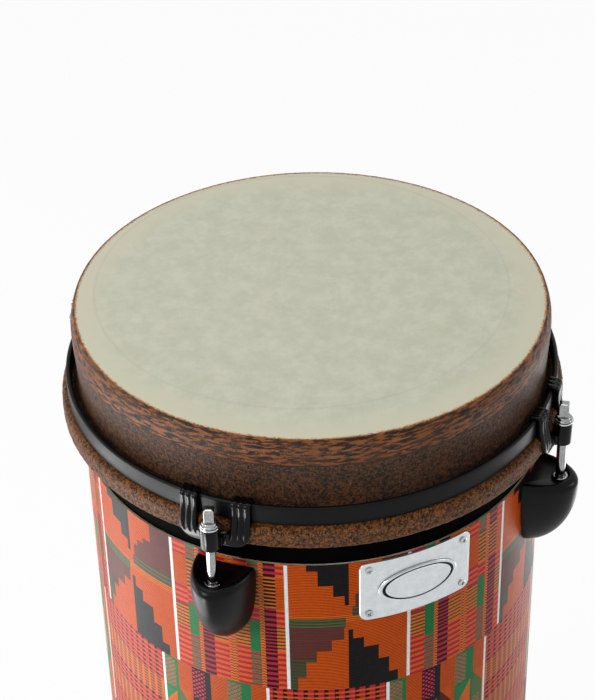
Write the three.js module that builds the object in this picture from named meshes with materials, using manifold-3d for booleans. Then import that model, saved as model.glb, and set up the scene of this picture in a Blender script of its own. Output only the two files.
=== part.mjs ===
// A tubano: a tall, floor-standing tubular hand drum with a key-tuned head.
// Millimetres, +Z up. The origin is on the floor, on the axis of the shell.
// The front of the drum, where the badge is, looks along -Y. An azimuth of 0 is the front,
// and azimuths grow towards +X, which is anticlockwise seen from above.

import * as THREE from "three";
import { mergeVertices } from "three/addons/utils/BufferGeometryUtils.js";
import Module from "manifold-3d";

const wasm = await Module();
wasm.setup();

// Whole drum
const DRUM_HEIGHT = 686; // floor to playing surface, 27 in
const ROUND_STEPS = 48; // facets round the shell and every ring on it, a multiple of 8
const GAP = 0.3; // between pieces that touch or are clamped together
const CUT_PAST = 1; // how far a cutter runs past what it cuts

// Shell and covering
const SHELL_RADIUS = 149.6;
const SHELL_WALL = 6.4;
const EDGE_FALL = 3.2; // height of the rounded bearing edge
const WRAP_THICKNESS = 1.2;
const WRAP_DROP = 96; // playing surface to the top of the covering
const WRAP_INSET = 4; // bare shell left under the covering at the bottom
const WRAP_SEAM = 1.0; // width of the butt seam at the back

// Head: film, textured collar and flesh hoop, which come off together
const SKIN_THICKNESS = 0.9;
const SKIN_SKIRT_DEPTH = 9; // the film turned down inside the collar
const SKIN_SKIRT_WALL = 1.0;
const SKIN_CORNER = 1.4; // bevel where the film turns down
const HEAD_CLEARANCE = 0.5; // collar and hoop over the shell
const COLLAR_HEIGHT = 58; // playing surface to the top of the hoop
const COLLAR_NECK_WALL = 1.7;
const COLLAR_LAP = 0.7; // width of the collar's edge round the film
const COLLAR_BULGE = 1.5; // how far the collar swells past its neck
const COLLAR_BULGE_DROP = 12; // playing surface to the widest place
const COLLAR_NECK_DROP = 45; // playing surface to the narrowest place
const COLLAR_FOOT_SPREAD = 3.2;
const COLLAR_FACETS = 5; // up the collar's outside
const HOOP_WIDTH = 12.9;
const HOOP_HEIGHT = 15.5;
const HOOP_ROUND = 4.4;

// Rim, the steel counterhoop that pulls the flesh hoop down
const RIM_WALL = 3.1;
const RIM_HEIGHT = 13.2;
const RIM_EDGE_ROUND = 0.9;

// Tuning stations
const STATION_COUNT = 4;
const FIRST_STATION = Math.PI / 4; // azimuth of station 1
const CLAW_WIDTH = 45.5;
const CLAW_WINDOW_WIDTH = 21.5;
const CLAW_REACH = 32; // top of the hook to the bottom of the claw
const CLAW_WEB_HEIGHT = 9;
const CLAW_PLATE = 2.4;
const CLAW_CLEARANCE = 0.4; // claw to the flesh hoop
const CLAW_CORNER = 10;
const CLAW_FACETS = 3; // across a claw, and round each of its corners
const FINGER_FACETS = 4; // up the front of a finger
const FINGER_DRAW_IN = 0.33; // how far up the rim a finger has drawn in, as a share
const HOOK_THICKNESS = 2.2;
const HOOK_FRONT = 3.8; // hook in front of the rim
const HOOK_BEND = 3.2;
const HOOK_LIP_THICKNESS = 1.0;
const HOOK_LIP_CHAMFER = 0.8;
const HOOK_LIP_DEPTH = 4.5;
const HOOK_LIP_PASS = 1.3; // lip to the widest part of the collar
const GROOVES_PER_FINGER = 2;
const GROOVE_WIDTH = 1.5;
const GROOVE_DEPTH = 0.7;
const GROOVE_RISE = 5; // bottom of the claw to the lower end of a groove
const BARREL_RADIUS = 6;
const BARREL_HEIGHT = 16;
const BARREL_DROP = 58; // playing surface to the top of the barrel
const BARREL_NECK_WIDTH = 8;
const BARREL_FACETS = 16;

// Tension rod and washer
const ROD_RADIUS = 3.15;
const ROD_LENGTH = 68; // under the flange
const ROD_FIT = 0.12; // rod to nut
const ROD_PASS = 0.25; // rod to barrel and washer
const ROD_TIP_CHAMFER = 0.8;
const ROD_FACETS = 12;
const FLANGE_RADIUS = 5.8;
const FLANGE_HEIGHT = 1.7;
const FLANGE_BEVEL = 1.1;
const KEY_SQUARE = 6.2; // across the flats
const KEY_HEIGHT = 11.2;
const KEY_CHAMFER = 0.9;
const WASHER_RADIUS = 6.3;
const WASHER_THICKNESS = 1.0;

// Lug: half-teardrop casing with a threaded nut let into its dished top
const LUG_WIDTH = 40;
const LUG_DEPTH = 30.6;
const LUG_HEIGHT = 54.5;
const LUG_DROP = 101; // playing surface to the lug's brow
const LUG_BROW_ROUND = 5.5;
const LUG_FLANK_PULL = 0.35; // how much the sides follow the brow's rounding
const LUG_FLANK_POWER = 0.7; // below 1 keeps the sides full towards the tip
const LUG_TIP_ANGLE = 0.14; // where on its curve the bowl is cut flat, in radians
const LUG_NOSE_POWER = 1.55; // 2 would be an ellipse seen from above, 1 a triangle
const LUG_NOSE_FACETS = 10;
const LUG_BOWL_FACETS = 5;
const LUG_BROW_FACETS = 2;
const LUG_NOSE_BACKING = 2.7; // how far behind the covering the nose's curve springs from
const LUG_BACK_DEPTH = 8; // how far the uncut casing reaches into the shell
const LUG_DISH_DEPTH = 1.6;
const LUG_DISH_LIP = 1.1;
const NUT_RADIUS = 4.3;
const NUT_FLANGE_RADIUS = 5.0;
const NUT_FLANGE_HEIGHT = 0.8;
const NUT_LENGTH = 20;
const LUG_BORE_DEPTH = 28; // dish floor to the end of the rod's hole
const LUG_SCREW_RADIUS = 2;
const LUG_SCREW_HEAD_RADIUS = 5;
const LUG_SCREW_HEAD_HEIGHT = 2.6;
const LUG_SCREW_BITE = 10; // into the casing
const LUG_SCREW_DROPS = { upper: 11, lower: 38 }; // below the lug's brow
const SCREW_HOLE_FIT = 0.3;
const SCREW_FACETS = 8;

// Sound port and base
const FOOT_LIFT = 38; // floor to the bottom edge of the shell
const BAFFLE_THICKNESS = 9;
const BAFFLE_RECESS = 16;
const TUBE_RADIUS = 52;
const TUBE_WALL = 3.5;
const TUBE_LENGTH = 330;
const TUBE_FACETS = 32;
const TUBE_COLLAR_WIDTH = 14;
const TUBE_COLLAR_HEIGHT = 12;

// Feet
const FOOT_OUTER_LEG = 6;
const FOOT_INNER_LEG = 5.5;
const FOOT_OUTER_RISE = 34; // outer leg above the shell's bottom edge
const FOOT_INNER_RISE = 12;
const FOOT_TOP_WIDTH = 46;
const FOOT_BASE_WIDTH = 62;
const FOOT_CORNER = 8;
const FOOT_TREAD_CHAMFER = 2;
const FOOT_FACETS = 4; // across a foot, and round each of its corners
const FOOT_SCREW_SPACING = 26;
const FOOT_SCREW_RISE = 18; // above the shell's bottom edge
const FOOT_SCREW_RADIUS = 1.9;
const FOOT_SCREW_HEAD_RADIUS = 4.2;
const FOOT_SCREW_HEAD_HEIGHT = 2.2;
const FOOT_SCREW_BITE = 4; // into the shell

// Badge: plain plate with a blank oval medallion
const BADGE_AZIMUTH = THREE.MathUtils.degToRad(1.1);
const BADGE_WIDTH = 76;
const BADGE_HEIGHT = 46;
const BADGE_THICKNESS = 1.2;
const BADGE_CORNER = 6;
const BADGE_DROP = 1.5; // below the top edge of the covering
const BADGE_FACETS = 6; // across a plate that is bent to the shell
const BADGE_CORNER_FACETS = 3;
const MEDALLION_WIDTH = 54;
const MEDALLION_HEIGHT = 26;
const MEDALLION_THICKNESS = 1.4;
const MEDALLION_FACETS = 10; // round half of its oval
const BADGE_SCREW_INSET = 5.4;
const BADGE_SCREW_RADIUS = 1.1;
const BADGE_SCREW_HEAD_RADIUS = 2.5;
const BADGE_SCREW_HEAD_HEIGHT = 1.1;
const BADGE_SCREW_BITE = 3; // into the shell

// Radii that follow from the sizes above. A faceted ring's flats lie inside its corners, so
// what turns freely inside it is sized to the flats.
const flatShare = Math.cos(Math.PI / ROUND_STEPS);
const rodFlatShare = Math.cos(Math.PI / ROD_FACETS);
const shellBore = SHELL_RADIUS - SHELL_WALL;
const shellBoreFlats = shellBore * flatShare;
const wrapInner = SHELL_RADIUS + GAP / 2;
const wrapOuter = wrapInner + WRAP_THICKNESS;
const headBore = SHELL_RADIUS + HEAD_CLEARANCE;
const skirtOuter = headBore + SKIN_SKIRT_WALL;
const neckRadius = headBore + COLLAR_NECK_WALL;
const bulgeRadius = neckRadius + COLLAR_BULGE;
const hoopOuter = headBore + HOOP_WIDTH;
const lipInner = bulgeRadius + HOOK_LIP_PASS;
const lipOuter = lipInner + HOOK_LIP_THICKNESS;
const rimBore = (lipOuter + GAP) / flatShare;
const rimOuter = rimBore + RIM_WALL;
const hookOuter = rimOuter + GAP + HOOK_FRONT;
const clawInner = hoopOuter + CLAW_CLEARANCE;
const clawOuter = clawInner + CLAW_PLATE;
const rodCircle = clawInner + BARREL_RADIUS;
const rodPassRadius = (ROD_RADIUS + ROD_PASS) / rodFlatShare;
const nutBore = (ROD_RADIUS + ROD_FIT) / rodFlatShare;
const lugBack = wrapOuter + GAP;
const footOuter = wrapOuter + GAP + FOOT_OUTER_LEG;
const footSlotInner = shellBoreFlats - GAP;
const footInner = footSlotInner - FOOT_INNER_LEG;
const baffleBore = TUBE_RADIUS + GAP;

// Heights that follow from the sizes above
const shellTop = DRUM_HEIGHT - SKIN_THICKNESS - GAP;
const shellBottom = FOOT_LIFT + GAP;
const wrapTop = DRUM_HEIGHT - WRAP_DROP;
const wrapBottom = shellBottom + WRAP_INSET;
const hoopTop = DRUM_HEIGHT - COLLAR_HEIGHT;
const hoopBottom = hoopTop - HOOP_HEIGHT;
const rimBottom = hoopTop + GAP;
const rimTop = rimBottom + RIM_HEIGHT;
const hookUnder = rimTop + GAP;
const clawTop = hookUnder + HOOK_THICKNESS;
const clawBottom = clawTop - CLAW_REACH;
const barrelTop = DRUM_HEIGHT - BARREL_DROP;
const barrelBottom = barrelTop - BARREL_HEIGHT;
const washerBottom = barrelTop + GAP;
const washerTop = washerBottom + WASHER_THICKNESS;
const flangeBottom = washerTop + GAP;
const lugTop = DRUM_HEIGHT - LUG_DROP;
const lugBottom = lugTop - LUG_HEIGHT;
const dishFloor = lugTop - LUG_DISH_DEPTH;
const baffleBottom = shellBottom + BAFFLE_RECESS;
const baffleTop = baffleBottom + BAFFLE_THICKNESS;
const footScrewHeight = shellBottom + FOOT_SCREW_RISE;
const footScrewTurn = FOOT_SCREW_SPACING / 2 / footOuter;
const badgeInner = wrapOuter + GAP;
const badgeFace = badgeInner + BADGE_THICKNESS;
const badgeTop = wrapTop - BADGE_DROP;
const badgeMiddle = badgeTop - BADGE_HEIGHT / 2;

// A closed mesh with only merged positions, as a solid for cutting and joining.
function solidOf(geometry) {
  const bare = geometry.clone();
  bare.deleteAttribute("normal");
  bare.deleteAttribute("uv");
  const merged = mergeVertices(bare, 1e-3);
  const kept = [];
  for (let i = 0; i < merged.index.count; i += 3) {
    const [a, b, c] = [0, 1, 2].map((k) => merged.index.getX(i + k));
    if (a !== b && b !== c && c !== a) kept.push(a, b, c);
  }
  return new wasm.Manifold(
    new wasm.Mesh({
      numProp: 3,
      vertProperties: new Float32Array(merged.attributes.position.array),
      triVerts: new Uint32Array(kept),
    }),
  );
}

function geometryOf(solid) {
  const mesh = solid.getMesh();
  const positions = new Float32Array(mesh.numVert * 3);
  for (let i = 0; i < mesh.numVert; i++) {
    positions.set(mesh.vertProperties.subarray(i * mesh.numProp, i * mesh.numProp + 3), i * 3);
  }
  const geometry = new THREE.BufferGeometry();
  geometry.setAttribute("position", new THREE.BufferAttribute(positions, 3));
  geometry.setIndex(new THREE.BufferAttribute(new Uint32Array(mesh.triVerts), 1));
  geometry.computeVertexNormals();
  return geometry;
}

// A profile of [radius, height] points, listed anticlockwise, turned about the Z axis.
function revolved(profile, steps = ROUND_STEPS) {
  const points = profile.map(([radius, height]) => new THREE.Vector2(radius, height));
  const first = points[0];
  const last = points[points.length - 1];
  if (first.x > 0 || last.x > 0) points.push(first.clone());
  return new THREE.LatheGeometry(points, steps).rotateX(Math.PI / 2);
}

// Points on a circular arc in a profile, from one angle to another, in radians.
function arc(centreRadius, centreHeight, size, from, to, steps) {
  return Array.from({ length: steps + 1 }, (_, i) => {
    const angle = from + ((to - from) * i) / steps;
    return [centreRadius + size * Math.cos(angle), centreHeight + size * Math.sin(angle)];
  });
}

// Closed loops with the same number of points, skinned one to the next and capped at both ends.
// The outline gives the caps' triangles, and the loops run towards the side it faces.
function skinned(loops, outline) {
  const count = outline.length;
  const index = [];
  for (let ring = 0; ring < loops.length - 1; ring++) {
    for (let i = 0; i < count; i++) {
      const a = ring * count + i;
      const b = ring * count + ((i + 1) % count);
      index.push(a, b, b + count, a, b + count, a + count);
    }
  }
  const far = (loops.length - 1) * count;
  const flat = outline.map(([x, y]) => new THREE.Vector2(x, y));
  for (const [a, b, c] of THREE.ShapeUtils.triangulateShape(flat, [])) {
    index.push(a, c, b, far + a, far + b, far + c);
  }
  const geometry = new THREE.BufferGeometry();
  geometry.setAttribute("position", new THREE.Float32BufferAttribute(loops.flat(2), 3));
  geometry.setIndex(index);
  return geometry;
}

// Part of a revolved profile, centred on the front, with flat ends.
function sector(profile, halfAngle, steps) {
  const loops = Array.from({ length: steps + 1 }, (_, i) => {
    const azimuth = halfAngle * (1 - (2 * i) / steps);
    const [across, forward] = [Math.sin(azimuth), -Math.cos(azimuth)];
    return profile.map(([radius, height]) => [radius * across, radius * forward, height]);
  });
  return skinned(loops, profile);
}

// Level sections, from the lowest up, each a list of [x, y] points listed anticlockwise.
function lofted(sections, heights) {
  const loops = sections.map((section, i) => section.map(([x, y]) => [x, y, heights[i]]));
  return skinned(loops, sections[0]);
}

// A ring's rectangular section, for a sleeve, sheet or plate.
function wall(inner, outer, bottom, top) {
  return [
    [inner, bottom],
    [outer, bottom],
    [outer, top],
    [inner, top],
  ];
}

// A round bar or cutter with its axis along Z.
function bar(radius, bottom, top, steps) {
  return new THREE.CylinderGeometry(radius, radius, top - bottom, steps)
    .rotateX(Math.PI / 2)
    .translate(0, 0, (top + bottom) / 2);
}

// A round bar that points out of the drum's front, between two distances from the drum's axis.
function radialBar(radius, inner, outer, height) {
  return new THREE.CylinderGeometry(radius, radius, outer - inner, SCREW_FACETS).translate(
    0,
    -(inner + outer) / 2,
    height,
  );
}

// A shape drawn in x and height, pushed along Y between two distances from the drum's axis.
function facing(shape, inner, outer, curveSegments) {
  return new THREE.ExtrudeGeometry(shape, {
    depth: outer - inner,
    bevelEnabled: false,
    curveSegments,
  })
    .rotateX(Math.PI / 2)
    .translate(0, -inner, 0);
}

function turned(solid, azimuth) {
  return solid.rotate([0, 0, THREE.MathUtils.radToDeg(azimuth)]);
}

function stationAzimuth(station) {
  return FIRST_STATION + (station * 2 * Math.PI) / STATION_COUNT;
}

const finishes = {
  skin: { color: "#c9c9b3", roughness: 0.55, metalness: 0 },
  collar: { color: "#5b3a26", roughness: 0.8, metalness: 0 },
  shellBlack: { color: "#141312", roughness: 0.7, metalness: 0 },
  fabric: { color: "#c8551f", roughness: 0.6, metalness: 0 },
  blackSteel: { color: "#2c3032", roughness: 0.45, metalness: 0.3 },
  blackGloss: { color: "#16181a", roughness: 0.2, metalness: 0.2 },
  lugBlack: { color: "#1c1c1d", roughness: 0.5, metalness: 0 },
  chrome: { color: "#d4d5d2", roughness: 0.12, metalness: 1 },
  zinc: { color: "#a9adb0", roughness: 0.35, metalness: 0.9 },
  aluminium: { color: "#c4cacd", roughness: 0.35, metalness: 0.9 },
  fibreboard: { color: "#7a5a3c", roughness: 0.85, metalness: 0 },
  rubber: { color: "#1b1b1b", roughness: 0.8, metalness: 0 },
};

function piece(name, shape, finish) {
  const geometry = shape.isBufferGeometry ? shape : geometryOf(shape);
  const mesh = new THREE.Mesh(geometry, new THREE.MeshStandardMaterial(finishes[finish]));
  mesh.name = name;
  return mesh;
}

function atAzimuth(azimuth, ...meshes) {
  const group = new THREE.Group();
  group.rotation.z = azimuth;
  group.add(...meshes);
  return group;
}

function badgeScrewPlaces() {
  const turn = (BADGE_WIDTH / 2 - BADGE_SCREW_INSET) / badgeFace;
  const rise = BADGE_HEIGHT / 2 - BADGE_SCREW_INSET;
  return [-1, 1].flatMap((side) =>
    [-1, 1].map((row) => ({
      azimuth: BADGE_AZIMUTH + side * turn,
      height: badgeMiddle + row * rise,
    })),
  );
}

// A screw hole through everything between two distances from the drum's axis.
function screwHole(screwRadius, inner, outer, height, azimuth) {
  return turned(solidOf(radialBar(screwRadius + SCREW_HOLE_FIT, inner, outer, height)), azimuth);
}

// The screw holes in the covering and the shell. Lug screws go right through the shell.
function shellHoles(deepest) {
  const outer = wrapOuter + CUT_PAST;
  const footDepth = Math.max(deepest, SHELL_RADIUS - FOOT_SCREW_BITE - GAP);
  const badgeDepth = Math.max(deepest, SHELL_RADIUS - BADGE_SCREW_BITE - GAP);
  const holes = badgeScrewPlaces().map(({ azimuth, height }) =>
    screwHole(BADGE_SCREW_RADIUS, badgeDepth, outer, height, azimuth),
  );
  for (let station = 0; station < STATION_COUNT; station++) {
    const azimuth = stationAzimuth(station);
    for (const drop of Object.values(LUG_SCREW_DROPS)) {
      holes.push(screwHole(LUG_SCREW_RADIUS, deepest, outer, lugTop - drop, azimuth));
    }
    for (const turn of [-footScrewTurn, footScrewTurn]) {
      const place = azimuth + turn;
      holes.push(screwHole(FOOT_SCREW_RADIUS, footDepth, outer, footScrewHeight, place));
    }
  }
  return holes;
}

// The bare tube, with a bearing edge that is rounded outside and bevelled inside.
function shell() {
  const crown = SHELL_RADIUS - EDGE_FALL;
  const tube = solidOf(
    revolved([
      [shellBore, shellBottom],
      [SHELL_RADIUS, shellBottom],
      ...arc(crown, shellTop - EDGE_FALL, EDGE_FALL, 0, Math.PI / 2, 2),
      [shellBore, shellTop - (crown - shellBore)],
    ]),
  );
  return wasm.Manifold.difference([tube, ...shellHoles(shellBoreFlats - CUT_PAST)]);
}

// The printed covering: one sheet wrapped round the shell, its ends butted at the back.
function shellWrap() {
  const halfTurn = Math.PI - WRAP_SEAM / 2 / wrapOuter;
  const sheet = sector(wall(wrapInner, wrapOuter, wrapBottom, wrapTop), halfTurn, ROUND_STEPS);
  return wasm.Manifold.difference([solidOf(sheet), ...shellHoles(wrapInner - CUT_PAST)]);
}

// The film, flat over the bearing edge and turned down inside the collar.
function headSkin() {
  const skirtBottom = DRUM_HEIGHT - SKIN_SKIRT_DEPTH;
  return revolved([
    [0, DRUM_HEIGHT - SKIN_THICKNESS],
    [headBore, DRUM_HEIGHT - SKIN_THICKNESS],
    [headBore, skirtBottom],
    [skirtOuter, skirtBottom],
    [skirtOuter, DRUM_HEIGHT - SKIN_CORNER],
    [skirtOuter - SKIN_CORNER, DRUM_HEIGHT],
    [0, DRUM_HEIGHT],
  ]);
}

// The textured collar laps the film's turned edge, swells, narrows to a neck and spreads on the hoop.
function headCollar() {
  const bulge = DRUM_HEIGHT - COLLAR_BULGE_DROP;
  const neck = DRUM_HEIGHT - COLLAR_NECK_DROP;
  const foot = hoopTop + GAP;
  const skirtBottom = DRUM_HEIGHT - SKIN_SKIRT_DEPTH - GAP;
  const lapInner = skirtOuter - SKIN_CORNER + GAP * Math.SQRT2;
  const flank = new THREE.SplineCurve([
    new THREE.Vector2(neckRadius + COLLAR_FOOT_SPREAD, foot),
    new THREE.Vector2(neckRadius, neck),
    new THREE.Vector2(bulgeRadius, bulge),
    new THREE.Vector2(lapInner + COLLAR_LAP, DRUM_HEIGHT),
  ]);
  return revolved([
    [headBore, foot],
    ...flank.getPoints(COLLAR_FACETS).map(({ x, y }) => [x, y]),
    [lapInner, DRUM_HEIGHT],
    [skirtOuter + GAP, DRUM_HEIGHT - (skirtOuter + GAP - lapInner)],
    [skirtOuter + GAP, skirtBottom],
    [headBore, skirtBottom],
  ]);
}

// The flesh hoop, a thick ring with a rounded outside.
function headHoop() {
  const middle = hoopOuter - HOOP_ROUND;
  return revolved([
    [headBore, hoopBottom],
    ...arc(middle, hoopBottom + HOOP_ROUND, HOOP_ROUND, -Math.PI / 2, 0, 2),
    ...arc(middle, hoopTop - HOOP_ROUND, HOOP_ROUND, 0, Math.PI / 2, 2),
    [headBore, hoopTop],
  ]);
}

function rim() {
  const edge = RIM_EDGE_ROUND;
  return revolved([
    ...arc(rimBore + edge, rimBottom + edge, edge, Math.PI, Math.PI * 1.5, 1),
    ...arc(rimOuter - edge, rimBottom + edge, edge, -Math.PI / 2, 0, 1),
    ...arc(rimOuter - edge, rimTop - edge, edge, 0, Math.PI / 2, 1),
    ...arc(rimBore + edge, rimTop - edge, edge, Math.PI / 2, Math.PI, 1),
  ]);
}

// The claw's outline seen from outside: two fingers joined by a web, as a U.
function clawOutline() {
  const [x, window, corner] = [CLAW_WIDTH / 2, CLAW_WINDOW_WIDTH / 2, CLAW_CORNER];
  const webTop = clawBottom + CLAW_WEB_HEIGHT;
  const above = clawTop + CUT_PAST;
  const shape = new THREE.Shape();
  shape.moveTo(-x, above);
  shape.absarc(-x + corner, clawBottom + corner, corner, Math.PI, Math.PI * 1.5);
  shape.absarc(x - corner, clawBottom + corner, corner, Math.PI * 1.5, Math.PI * 2);
  shape.lineTo(x, above);
  shape.lineTo(window, above);
  shape.lineTo(window, webTop);
  shape.lineTo(-window, webTop);
  shape.lineTo(-window, above);
  return shape;
}

// The front of a finger in section, from the bottom up, moved outwards by an offset. It stands
// proud over the hoop and draws in towards the rim.
function fingerFace(offset, bottom) {
  const curve = new THREE.SplineCurve([
    new THREE.Vector2(clawOuter + offset, bottom),
    new THREE.Vector2(clawOuter + offset, hoopTop - HOOP_HEIGHT / 2),
    new THREE.Vector2(hookOuter + offset, rimBottom + RIM_HEIGHT * FINGER_DRAW_IN),
    new THREE.Vector2(hookOuter + offset, clawTop - HOOK_BEND),
  ]);
  return curve.getPoints(FINGER_FACETS).map(({ x, y }) => [x, y]);
}

// Section of a finger: a plate outside the hoop and the rim, hooked over the rim's top.
function fingerProfile() {
  const shoulder = HOOP_ROUND + CLAW_CLEARANCE;
  const shoulderRadius = hoopOuter - HOOP_ROUND;
  const throat = rimOuter + GAP;
  const meets = Math.acos((throat - shoulderRadius) / shoulder);
  const lipBottom = rimTop - HOOK_LIP_DEPTH;
  return [
    [clawInner, clawBottom - CUT_PAST],
    ...fingerFace(0, clawBottom - CUT_PAST),
    ...arc(hookOuter - HOOK_BEND, clawTop - HOOK_BEND, HOOK_BEND, 0, Math.PI / 2, 2).slice(1),
    [lipInner + HOOK_LIP_CHAMFER, clawTop],
    [lipInner, clawTop - HOOK_LIP_CHAMFER],
    [lipInner, lipBottom],
    [lipOuter, lipBottom],
    [lipOuter, hookUnder],
    [throat, hookUnder],
    ...arc(shoulderRadius, hoopTop - HOOP_ROUND, shoulder, meets, 0, 2),
  ];
}

// What a groove takes out of a finger's front and of the top of its hook.
function grooveProfile() {
  const bottom = clawBottom + GROOVE_RISE;
  const bend = HOOK_BEND - GROOVE_DEPTH;
  const outside = clawOuter + CUT_PAST;
  const floor = [
    ...fingerFace(-GROOVE_DEPTH, bottom),
    ...arc(hookOuter - HOOK_BEND, clawTop - HOOK_BEND, bend, 0, Math.PI / 2, 2).slice(1),
    [lipOuter, clawTop - GROOVE_DEPTH],
  ];
  return [
    [outside, bottom],
    [outside, clawTop + CUT_PAST],
    [lipOuter, clawTop + CUT_PAST],
    ...floor.reverse(),
  ];
}

// One claw, drawn at the front. It hooks over the rim and carries the tension rod in its barrel.
function tuningClaw() {
  const halfAngle = (CLAW_WIDTH / 2 + CUT_PAST) / lipInner;
  const plate = solidOf(sector(fingerProfile(), halfAngle, CLAW_FACETS));
  const past = CLAW_CORNER;
  const outline = solidOf(facing(clawOutline(), lipInner - past, clawOuter + past, CLAW_FACETS));
  const neckDepth = rodCircle - clawInner;
  const neck = new THREE.BoxGeometry(BARREL_NECK_WIDTH, neckDepth, CLAW_WEB_HEIGHT);
  neck.translate(0, -clawInner - neckDepth / 2, clawBottom + CLAW_WEB_HEIGHT / 2);
  const barrel = bar(BARREL_RADIUS, barrelBottom, barrelTop, BARREL_FACETS);
  const bore = bar(rodPassRadius, barrelBottom - CUT_PAST, barrelTop + CUT_PAST, ROD_FACETS);
  const body = wasm.Manifold.union([
    plate.intersect(outline),
    solidOf(neck),
    solidOf(barrel.translate(0, -rodCircle, 0)),
  ]);
  return wasm.Manifold.difference([
    body,
    solidOf(bore.translate(0, -rodCircle, 0)),
    ...fingerGrooves(),
  ]);
}

function fingerGrooves() {
  const fingerWidth = (CLAW_WIDTH - CLAW_WINDOW_WIDTH) / 2;
  const pitch = fingerWidth / (GROOVES_PER_FINGER + 1);
  const groove = solidOf(sector(grooveProfile(), GROOVE_WIDTH / 2 / clawOuter, 1));
  const grooves = [];
  for (const side of [-1, 1]) {
    for (let i = 1; i <= GROOVES_PER_FINGER; i++) {
      const across = side * (CLAW_WINDOW_WIDTH / 2 + i * pitch);
      grooves.push(turned(groove, across / clawOuter));
    }
  }
  return grooves;
}

// A tension rod: round shank, flange, and a square head for the drum key.
function tensionRod() {
  const tip = flangeBottom - ROD_LENGTH;
  const flangeTop = flangeBottom + FLANGE_HEIGHT;
  const keyShoulder = flangeTop + KEY_HEIGHT - KEY_CHAMFER;
  const corner = KEY_SQUARE / Math.SQRT2;
  const shank = revolved(
    [
      [0, tip],
      [ROD_RADIUS - ROD_TIP_CHAMFER, tip],
      [ROD_RADIUS, tip + ROD_TIP_CHAMFER],
      [ROD_RADIUS, flangeBottom],
      [FLANGE_RADIUS, flangeBottom],
      [FLANGE_RADIUS, flangeTop - FLANGE_BEVEL],
      [FLANGE_RADIUS - FLANGE_BEVEL, flangeTop],
      [0, flangeTop],
    ],
    ROD_FACETS,
  );
  const square = (top, bottom, low, high) =>
    solidOf(
      new THREE.CylinderGeometry(top, bottom, high - low, 4, 1, false, Math.PI / 4)
        .rotateX(Math.PI / 2)
        .translate(0, 0, (low + high) / 2),
    );
  return wasm.Manifold.union([
    solidOf(shank),
    square(corner, corner, flangeTop - FLANGE_BEVEL, keyShoulder),
    square(corner - KEY_CHAMFER, corner, keyShoulder, keyShoulder + KEY_CHAMFER),
  ]);
}

function rodWasher() {
  return revolved(wall(rodPassRadius, WASHER_RADIUS, washerBottom, washerTop), ROD_FACETS);
}

// One level section of the lug: a rounded nose that points away from the shell. The depth is
// measured from the covering.
function lugSection(halfWidth, depth) {
  const power = 2 / LUG_NOSE_POWER;
  const nose = Array.from({ length: LUG_NOSE_FACETS + 1 }, (_, i) => {
    const angle = (Math.PI * i) / LUG_NOSE_FACETS;
    const across = -Math.sign(Math.cos(angle)) * Math.abs(Math.cos(angle)) ** power;
    const out = (depth + LUG_NOSE_BACKING) * Math.sin(angle) ** power - LUG_NOSE_BACKING;
    return [halfWidth * across, -(wrapOuter + out)];
  });
  const back = -(wrapOuter - LUG_BACK_DEPTH);
  return [...nose, [halfWidth, back], [-halfWidth, back]];
}

// The casing: a bowl that curves in to the shell at its tip, under a rounded brow and a dished top.
function lugCasing() {
  const halfWidth = LUG_WIDTH / 2;
  const bowlTop = lugTop - LUG_BROW_ROUND;
  const bowlHeight = bowlTop - lugBottom;
  const levels = [];
  for (let i = 0; i <= LUG_BOWL_FACETS; i++) {
    const angle = LUG_TIP_ANGLE + ((Math.PI / 2 - LUG_TIP_ANGLE) * i) / LUG_BOWL_FACETS;
    const swell = Math.sin(angle);
    levels.push({
      section: lugSection(halfWidth * swell ** LUG_FLANK_POWER, LUG_DEPTH * swell),
      height: bowlTop - bowlHeight * Math.cos(angle),
    });
  }
  for (let i = 1; i <= LUG_BROW_FACETS; i++) {
    const angle = (Math.PI / 2) * (i / LUG_BROW_FACETS);
    const pull = LUG_BROW_ROUND * (1 - Math.cos(angle));
    levels.push({
      section: lugSection(halfWidth - pull * LUG_FLANK_PULL, LUG_DEPTH - pull),
      height: bowlTop + LUG_BROW_ROUND * Math.sin(angle),
    });
  }
  const casing = lofted(
    levels.map(({ section }) => section),
    levels.map(({ height }) => height),
  );
  return wasm.Manifold.difference([
    solidOf(casing),
    solidOf(bar(lugBack, lugBottom - CUT_PAST, lugTop + CUT_PAST, ROUND_STEPS)),
    solidOf(lugDish()),
    ...lugBores(),
  ]);
}

// The dish in the lug's top, which leaves a raised lip round the nose.
function lugDish() {
  const inset = LUG_BROW_ROUND + LUG_DISH_LIP;
  const section = lugSection(LUG_WIDTH / 2 - inset * (1 - LUG_FLANK_PULL), LUG_DEPTH - inset);
  return lofted([section, section], [dishFloor, lugTop + CUT_PAST]);
}

function lugBores() {
  const onRod = (radius, bottom) =>
    solidOf(bar(radius, bottom, lugTop + CUT_PAST, ROD_FACETS).translate(0, -rodCircle, 0));
  return [
    onRod(NUT_FLANGE_RADIUS + GAP, dishFloor),
    onRod(NUT_RADIUS + GAP, dishFloor - NUT_LENGTH - GAP),
    onRod(rodPassRadius, dishFloor - LUG_BORE_DEPTH),
    ...Object.values(LUG_SCREW_DROPS).map((drop) =>
      screwHole(LUG_SCREW_RADIUS, lugBack - CUT_PAST, lugBack + LUG_SCREW_BITE + GAP, lugTop - drop, 0),
    ),
  ];
}

// The threaded nut, pressed into the casing from above with a thin flange on the dish's floor.
function lugNut() {
  const bottom = dishFloor - NUT_LENGTH;
  const seat = dishFloor + GAP;
  return revolved(
    [
      [nutBore, bottom],
      [NUT_RADIUS, bottom],
      [NUT_RADIUS, seat],
      [NUT_FLANGE_RADIUS, seat],
      [NUT_FLANGE_RADIUS, seat + NUT_FLANGE_HEIGHT],
      [nutBore, seat + NUT_FLANGE_HEIGHT],
    ],
    ROD_FACETS,
  );
}

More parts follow.
